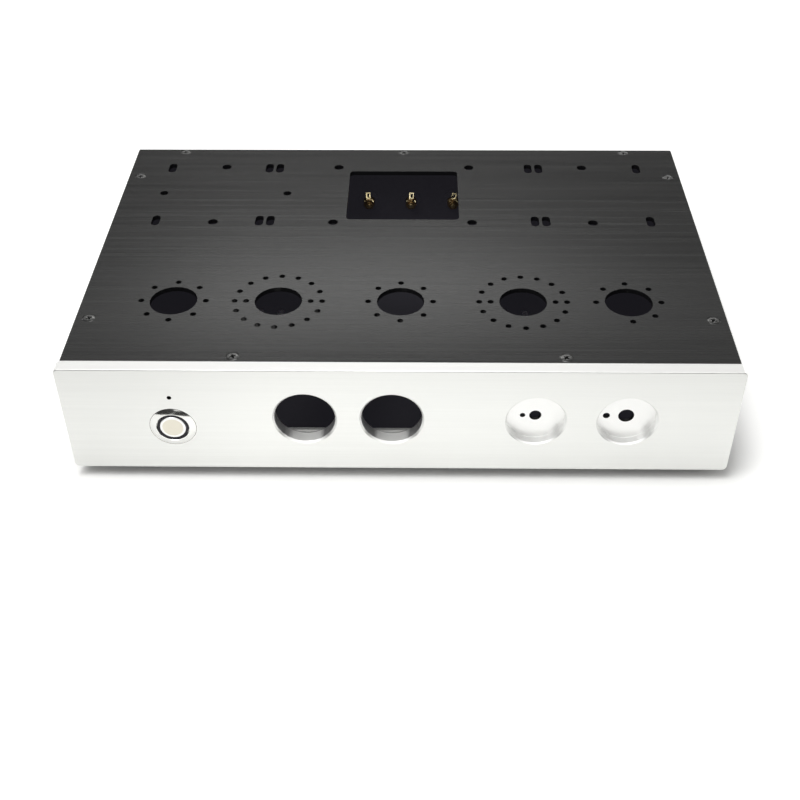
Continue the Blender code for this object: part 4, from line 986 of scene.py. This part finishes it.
# %% [markdown]
# ## Solder lugs
# Inside, a stamped solder lug sits on each post's stud. It is a ring with a tongue that leans back
# to the wall, with an oblong hole for the wire. It is cut from one sheet: a disc and a tongue are
# joined, then the holes are punched and the edges broken. Each lug is turned and bent by hand a
# little differently, and that is what makes them glint one by one.

# %% Solder lugs
LUG_RADIUS = 0.00378
LUG_BORE = 0.00242
LUG_SHEET = 0.00058
TONGUE_WIDTH = 0.0032
TONGUE_FOOT = 0.0041
WIRE_HOLE = 0.00060
LEAN = math.radians(24.0)
LUG_TURNS = (-5.0, 3.0, 8.0, -3.0)
LUG_YAWS = (0.0, 0.0, -0.06, -0.06)
axis_z = middle("post_cap_1").z
for number, (lug_turn, lug_yaw) in enumerate(zip(LUG_TURNS, LUG_YAWS), 1):
    lug_place = (middle(f"post_cap_{number}").x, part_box(f"post_lug_{number}")[0].y + 0.0003, axis_z)
    lug = rod("lug", LUG_RADIUS, LUG_SHEET, ORIGIN, FACING_FRONT, 64)
    lower = block("lower", (TONGUE_WIDTH, LUG_SHEET, 0.0012), (0.0, 0.0, 0.0037))
    tongue_middle = (0.0, 0.0019 * math.sin(LEAN), TONGUE_FOOT + 0.0019 * math.cos(LEAN))
    upper = block("upper", (TONGUE_WIDTH, LUG_SHEET, 0.0045), tongue_middle, (-LEAN, 0.0, lug_yaw))
    carved(lug, [lower, upper], "UNION")
    punch = rod("punch", LUG_BORE, 0.002, ORIGIN, FACING_FRONT, 48)
    hole_place = (0.0, 0.0009, TONGUE_FOOT + 0.0017)
    wire_hole = rod("wire_hole", WIRE_HOLE, 0.004, hole_place, FACING_FRONT, 24)
    chosen(wire_hole)
    bpy.ops.object.mode_set(mode="EDIT")
    bpy.ops.mesh.select_all(action="SELECT")
    bpy.ops.transform.resize(value=(1.0, 1.0, 1.9), center_override=hole_place)
    bpy.ops.object.mode_set(mode="OBJECT")
    carved(lug, [punch, wire_hole])
    lug.name = f"solder_lug_{number}"
    softened(lug, 0.00012, 2, 25.0)
    set_down(lug, lug_place, (0.0, math.radians(lug_turn), 0.0))
    dressed(lug, lit_lug_gold, "gold_plate", "root", f"post_lug_{number}")
print("solder lugs:", len(LUG_TURNS))

# %% [markdown]
# ## Binding posts, their nuts and caps
# A post is turned from brass and gilded: a threaded stud that goes through the wall, a collar
# against the insulator and a sleeve that takes a plug. Two brass hexagon nuts hold it on the
# inside, the small one over the lug. Each nut starts as a six-sided rod, and only what lies inside
# a turned shape with bevelled rims is kept. That takes its corners off, as a real chamfer does.
#
# A plastic cap screws on each post and clamps a bare wire under the washer. It is turned hollow,
# and round rods cut eight finger grooves along its rim. Two of the four are red. Each cap rides on
# its own body, which turns as it travels: one turn for each millimetre.

# %% Posts, nuts and caps
REAR_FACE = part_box("post_insulator_1")[1].y - 0.0043
COLLAR_TOP = 0.0066
POST_TOP = COLLAR_TOP + 0.0125
POST_NUT = (0.0045, 0.0030, -0.0041)
LUG_NUT = (0.0040, 0.0016, -0.0083)
NUT_BORE = 0.0021
GROOVES = 8
GROOVE_RADIUS = 0.0012
GROOVE_REACH = 0.0076


def hexagon_nut(name, across, height):
    """A hexagon nut on Z, from 0 down to minus its height, with its corners taken off."""
    nut = rod(name, across, height, (0.0, 0.0, -height / 2), STANDING, 6)
    rim = 0.84 * across
    outline = [
        (0.0, 0.0), (rim, 0.0), (across, -0.16 * height), (across, -0.84 * height),
        (rim, -height), (0.0, -height),
    ]
    carved(nut, [spun("corner_cone", outline, 64)], "INTERSECT")
    carved(nut, [rod("thread_bore", NUT_BORE, 3 * height, ORIGIN, STANDING, 48)])
    softened(nut, 0.00008, 2, 30.0)
    return nut


for number in range(1, 5):
    spot = middle(f"post_cap_{number}")
    outline = [
        (0.0, POST_TOP - 0.011), (0.0020, POST_TOP - 0.011), (0.0020, POST_TOP - 0.0003),
        (0.0023, POST_TOP), (0.0027, POST_TOP), (0.0030, POST_TOP - 0.0003),
        *ridges(10, COLLAR_TOP + 0.0118, 0.001, 0.0030, 0.00272, 0.0005),
        (0.0030, COLLAR_TOP + 0.0012), (0.0030, COLLAR_TOP), (0.0062, COLLAR_TOP),
        (0.0065, COLLAR_TOP - 0.0003), (0.0065, COLLAR_TOP - 0.0017),
        (0.0062, COLLAR_TOP - 0.0020), (0.0021, COLLAR_TOP - 0.0020), (0.0021, 0.0),
        *ridges(14, -0.0002, 0.0008, 0.00205, 0.00178, 0.0004),
        (0.0017, -0.0118), (0.0013, -0.0120), (0.0, -0.0120),
    ]
    place = (spot.x, REAR_FACE, spot.z)
    post = turned(f"terminal_post_{number}", outline, 48, 30, place, FACING_REAR)
    dressed(post, gold, "gold_plate", "root", f"post_stud_{number}")
    for name, (across, height, depth), twist in (
        (f"terminal_nut_{number}", POST_NUT, 0.0),
        (f"lug_nut_{number}", LUG_NUT, 0.4),
    ):
        nut = hexagon_nut(name, across, height)
        set_down(nut, ORIGIN, (0.0, 0.0, twist))
        set_down(nut, (spot.x, REAR_FACE + depth, spot.z), FACING_REAR)
        dressed(nut, brass, "gold_plate", "root")
    outline = [
        (0.0025, 0.0150), (0.0058, 0.0150), (0.0065, 0.0148), (0.0069, 0.0143),
        (0.0070, 0.0136), (0.0070, 0.0006), (0.0067, 0.0003), (0.0066, 0.0),
        (0.0033, 0.0), (0.0033, 0.0126), (0.0025, 0.0126), (0.0025, 0.0150),
    ]
    cap = spun(f"clamp_cap_{number}", outline, 96)
    grooves = []
    for step in range(GROOVES):
        angle = math.tau * (step + 0.5) / GROOVES
        place = (GROOVE_REACH * math.cos(angle), GROOVE_REACH * math.sin(angle), 0.0085)
        grooves.append(rod("groove", GROOVE_RADIUS, 0.0140, place, STANDING, 24))
    carved(cap, grooves)
    softened(cap, 0.00015, 2, 30.0)
    set_down(cap, (spot.x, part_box(f"post_cap_{number}")[0].y, spot.z), FACING_REAR)
    finish, slot = BLACK_OR_RED[number % 2 == 0]
    dressed(cap, finish, slot, f"cap_{number}", f"post_cap_{number}")
print("posts: 4, nuts: 8, caps: 4")

# %% [markdown]
# ## Phono sockets
# A phono socket is a gilded sleeve on a flange, with a plastic ring round its middle contact. The
# sleeve is turned in one go, from the inside of its mouth over the flange to the thread that goes
# through the wall. The ring's colour shows which channel the socket belongs to, so it is a piece
# of its own.

# %% Phono sockets
for number in range(1, 5):
    spot = middle(f"phono_socket_{number}")
    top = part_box(f"phono_socket_{number}")[1].y - REAR_FACE
    place = (spot.x, REAR_FACE, spot.z)
    outline = [
        (0.0029, top - 0.0080), (0.0029, top - 0.0003), (0.0031, top), (0.0039, top),
        (0.00415, top - 0.0003), (0.00415, 0.0023), (0.0059, 0.0023), (0.0062, 0.0020),
        (0.0062, 0.0006), (0.0059, 0.0003), (0.0034, 0.0003),
        *ridges(10, -0.0016, 0.0007, 0.0034, 0.0031, 0.00035),
        (0.0031, -0.0089), (0.0029, -0.0090), (0.0, -0.0090),
        (0.0, top - 0.0080), (0.0029, top - 0.0080),
    ]
    sleeve = turned(f"phono_sleeve_{number}", outline, 64, 30, place, FACING_REAR)
    dressed(sleeve, gold, "gold_plate", "root", f"phono_socket_{number}")
    outline = [
        (0.0016, top - 0.0079), (0.0028, top - 0.0079), (0.0028, top - 0.0010),
        (0.0026, top - 0.0008), (0.0018, top - 0.0008), (0.0016, top - 0.0011),
        (0.0016, top - 0.0079),
    ]
    ring = turned(f"phono_ring_{number}", outline, 48, 30, place, FACING_REAR)
    finish, slot = BLACK_OR_RED[number > 2]
    dressed(ring, finish, slot, "root")
print("phono sockets: 4")

# %% [markdown]
# ## The mains inlet
# The inlet is a moulded frame with a deep pocket behind it. The frame and the box behind it are
# joined first, then the pocket and the two screw holes are cut. The three flat pins are metal, so
# they are pieces of their own, with rounded ends that lead the plug on.


# %% Mains inlet
def rounded_block(name, size, place, corner, rim):
    """A block with its four corners round the Y axis rounded and both rims broken."""
    piece = block(name, size, place)
    edges_broken(piece, corner, 6, along_y)
    if rim:
        edges_broken(piece, rim, 2, lambda a, b: abs(a.y - b.y) < 0.00001)
    return piece


SCREW_REACH = 0.020
PIN = (0.002, 0.012, 0.004)
PIN_SPOTS = ((-0.007, -0.0015), (0.0, 0.0030), (0.007, -0.0015))
spot = middle("mains_inlet")
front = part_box("mains_inlet")[1].y
housing = rounded_block(
    "inlet_housing", (0.050, 0.003, 0.0235), (spot.x, front - 0.0015, spot.z), 0.003, 0.0004
)
back_box = rounded_block(
    "back_box", (0.027, 0.0160, 0.0195), (spot.x, front - 0.0095, spot.z), 0.003, 0.0
)
carved(housing, [back_box], "UNION")
pocket = rounded_block(
    "pocket", (0.0235, 0.0170, 0.0160), (spot.x, front - 0.0065, spot.z), 0.0015, 0.0
)
screw_bores = []
for side in (-1, 1):
    place = (spot.x + side * SCREW_REACH, front, spot.z)
    screw_bores.append(rod("bore", 0.00175, 0.009, place, FACING_FRONT, 40))
carved(housing, [pocket, *screw_bores])
softened(housing, 0.00025, 2, 40.0)
dressed(housing, plastic, "black_plastic", "root", "mains_inlet")
for index, (shift, rise) in enumerate(PIN_SPOTS, 1):
    pin = block(f"inlet_pin_{index}", PIN, (spot.x + shift, front - 0.0090, spot.z + rise))
    softened(pin, 0.0004, 3, 40.0)
    dressed(pin, steel, "zinc_screw", "root")
print("inlet and its pins: 1 +", len(PIN_SPOTS))

# %% [markdown]
# ## The inlet's pan-head screws
# Two zinc-plated screws hold the inlet. The head is turned as a low dome and two crossed blocks
# cut its recess. The ridged shank goes through the frame into the wall.

# %% Pan-head screws
PAN = 0.0016
for name in ("inlet_screw_left", "inlet_screw_right"):
    spot = middle(name)
    outline = [
        (0.0, PAN), (0.0010, PAN - 0.00004), (0.0019, PAN - 0.0002),
        (0.0025, PAN - 0.0006), (0.0028, 0.0), (0.00145, 0.0),
        *ridges(8, -0.0006, 0.0008, 0.00145, 0.00125, 0.0004),
        (0.0012, -0.0078), (0.0, -0.0078),
    ]
    screw = spun(f"pan_{name}", outline, 40)
    arms = []
    for quarter in range(2):
        turn_of_arm = (0.0, 0.0, quarter * math.pi / 2 + 0.5)
        arms.append(block("slot", (0.0028, 0.0007, 0.0018), (0.0, 0.0, PAN), turn_of_arm))
    carved(screw, arms)
    softened(screw, 0.00006, 2, 40.0)
    set_down(screw, (spot.x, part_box(name)[1].y - PAN, spot.z), FACING_REAR)
    dressed(screw, zinc, "zinc_screw", "root", name)
print("pan-head screws: 2")

# %% [markdown]
# ## The rubber feet
# A foot is turned as one ring-shaped piece: the side tapers a little, the lower edge is rounded,
# and the screw sits up in a hollow so that it never scratches the table.

# %% Rubber feet
FOOT_WEB = 0.0040
for number in range(1, 5):
    low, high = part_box(f"foot_{number}")
    spot = middle(f"foot_{number}")
    tall = high.z - low.z
    outline = [
        (0.0019, FOOT_WEB), (0.0048, FOOT_WEB), (0.0048, 0.0004), (0.0052, 0.0),
        (0.0080, 0.0), (0.0087, 0.0003), (0.0091, 0.0010), (0.0099, tall - 0.0006),
        (0.0097, tall), (0.0019, tall), (0.0019, FOOT_WEB),
    ]
    foot = turned(f"rubber_foot_{number}", outline, 64, 40, (spot.x, spot.y, low.z))
    dressed(foot, rubber, "foot_rubber", "root", f"foot_{number}")
print("feet: 4")

# %% [markdown]
# ## Finish
# The colours are shown as they are, with no film curve over them.

# %% Finish
bpy.context.scene.view_settings.view_transform = "Standard"
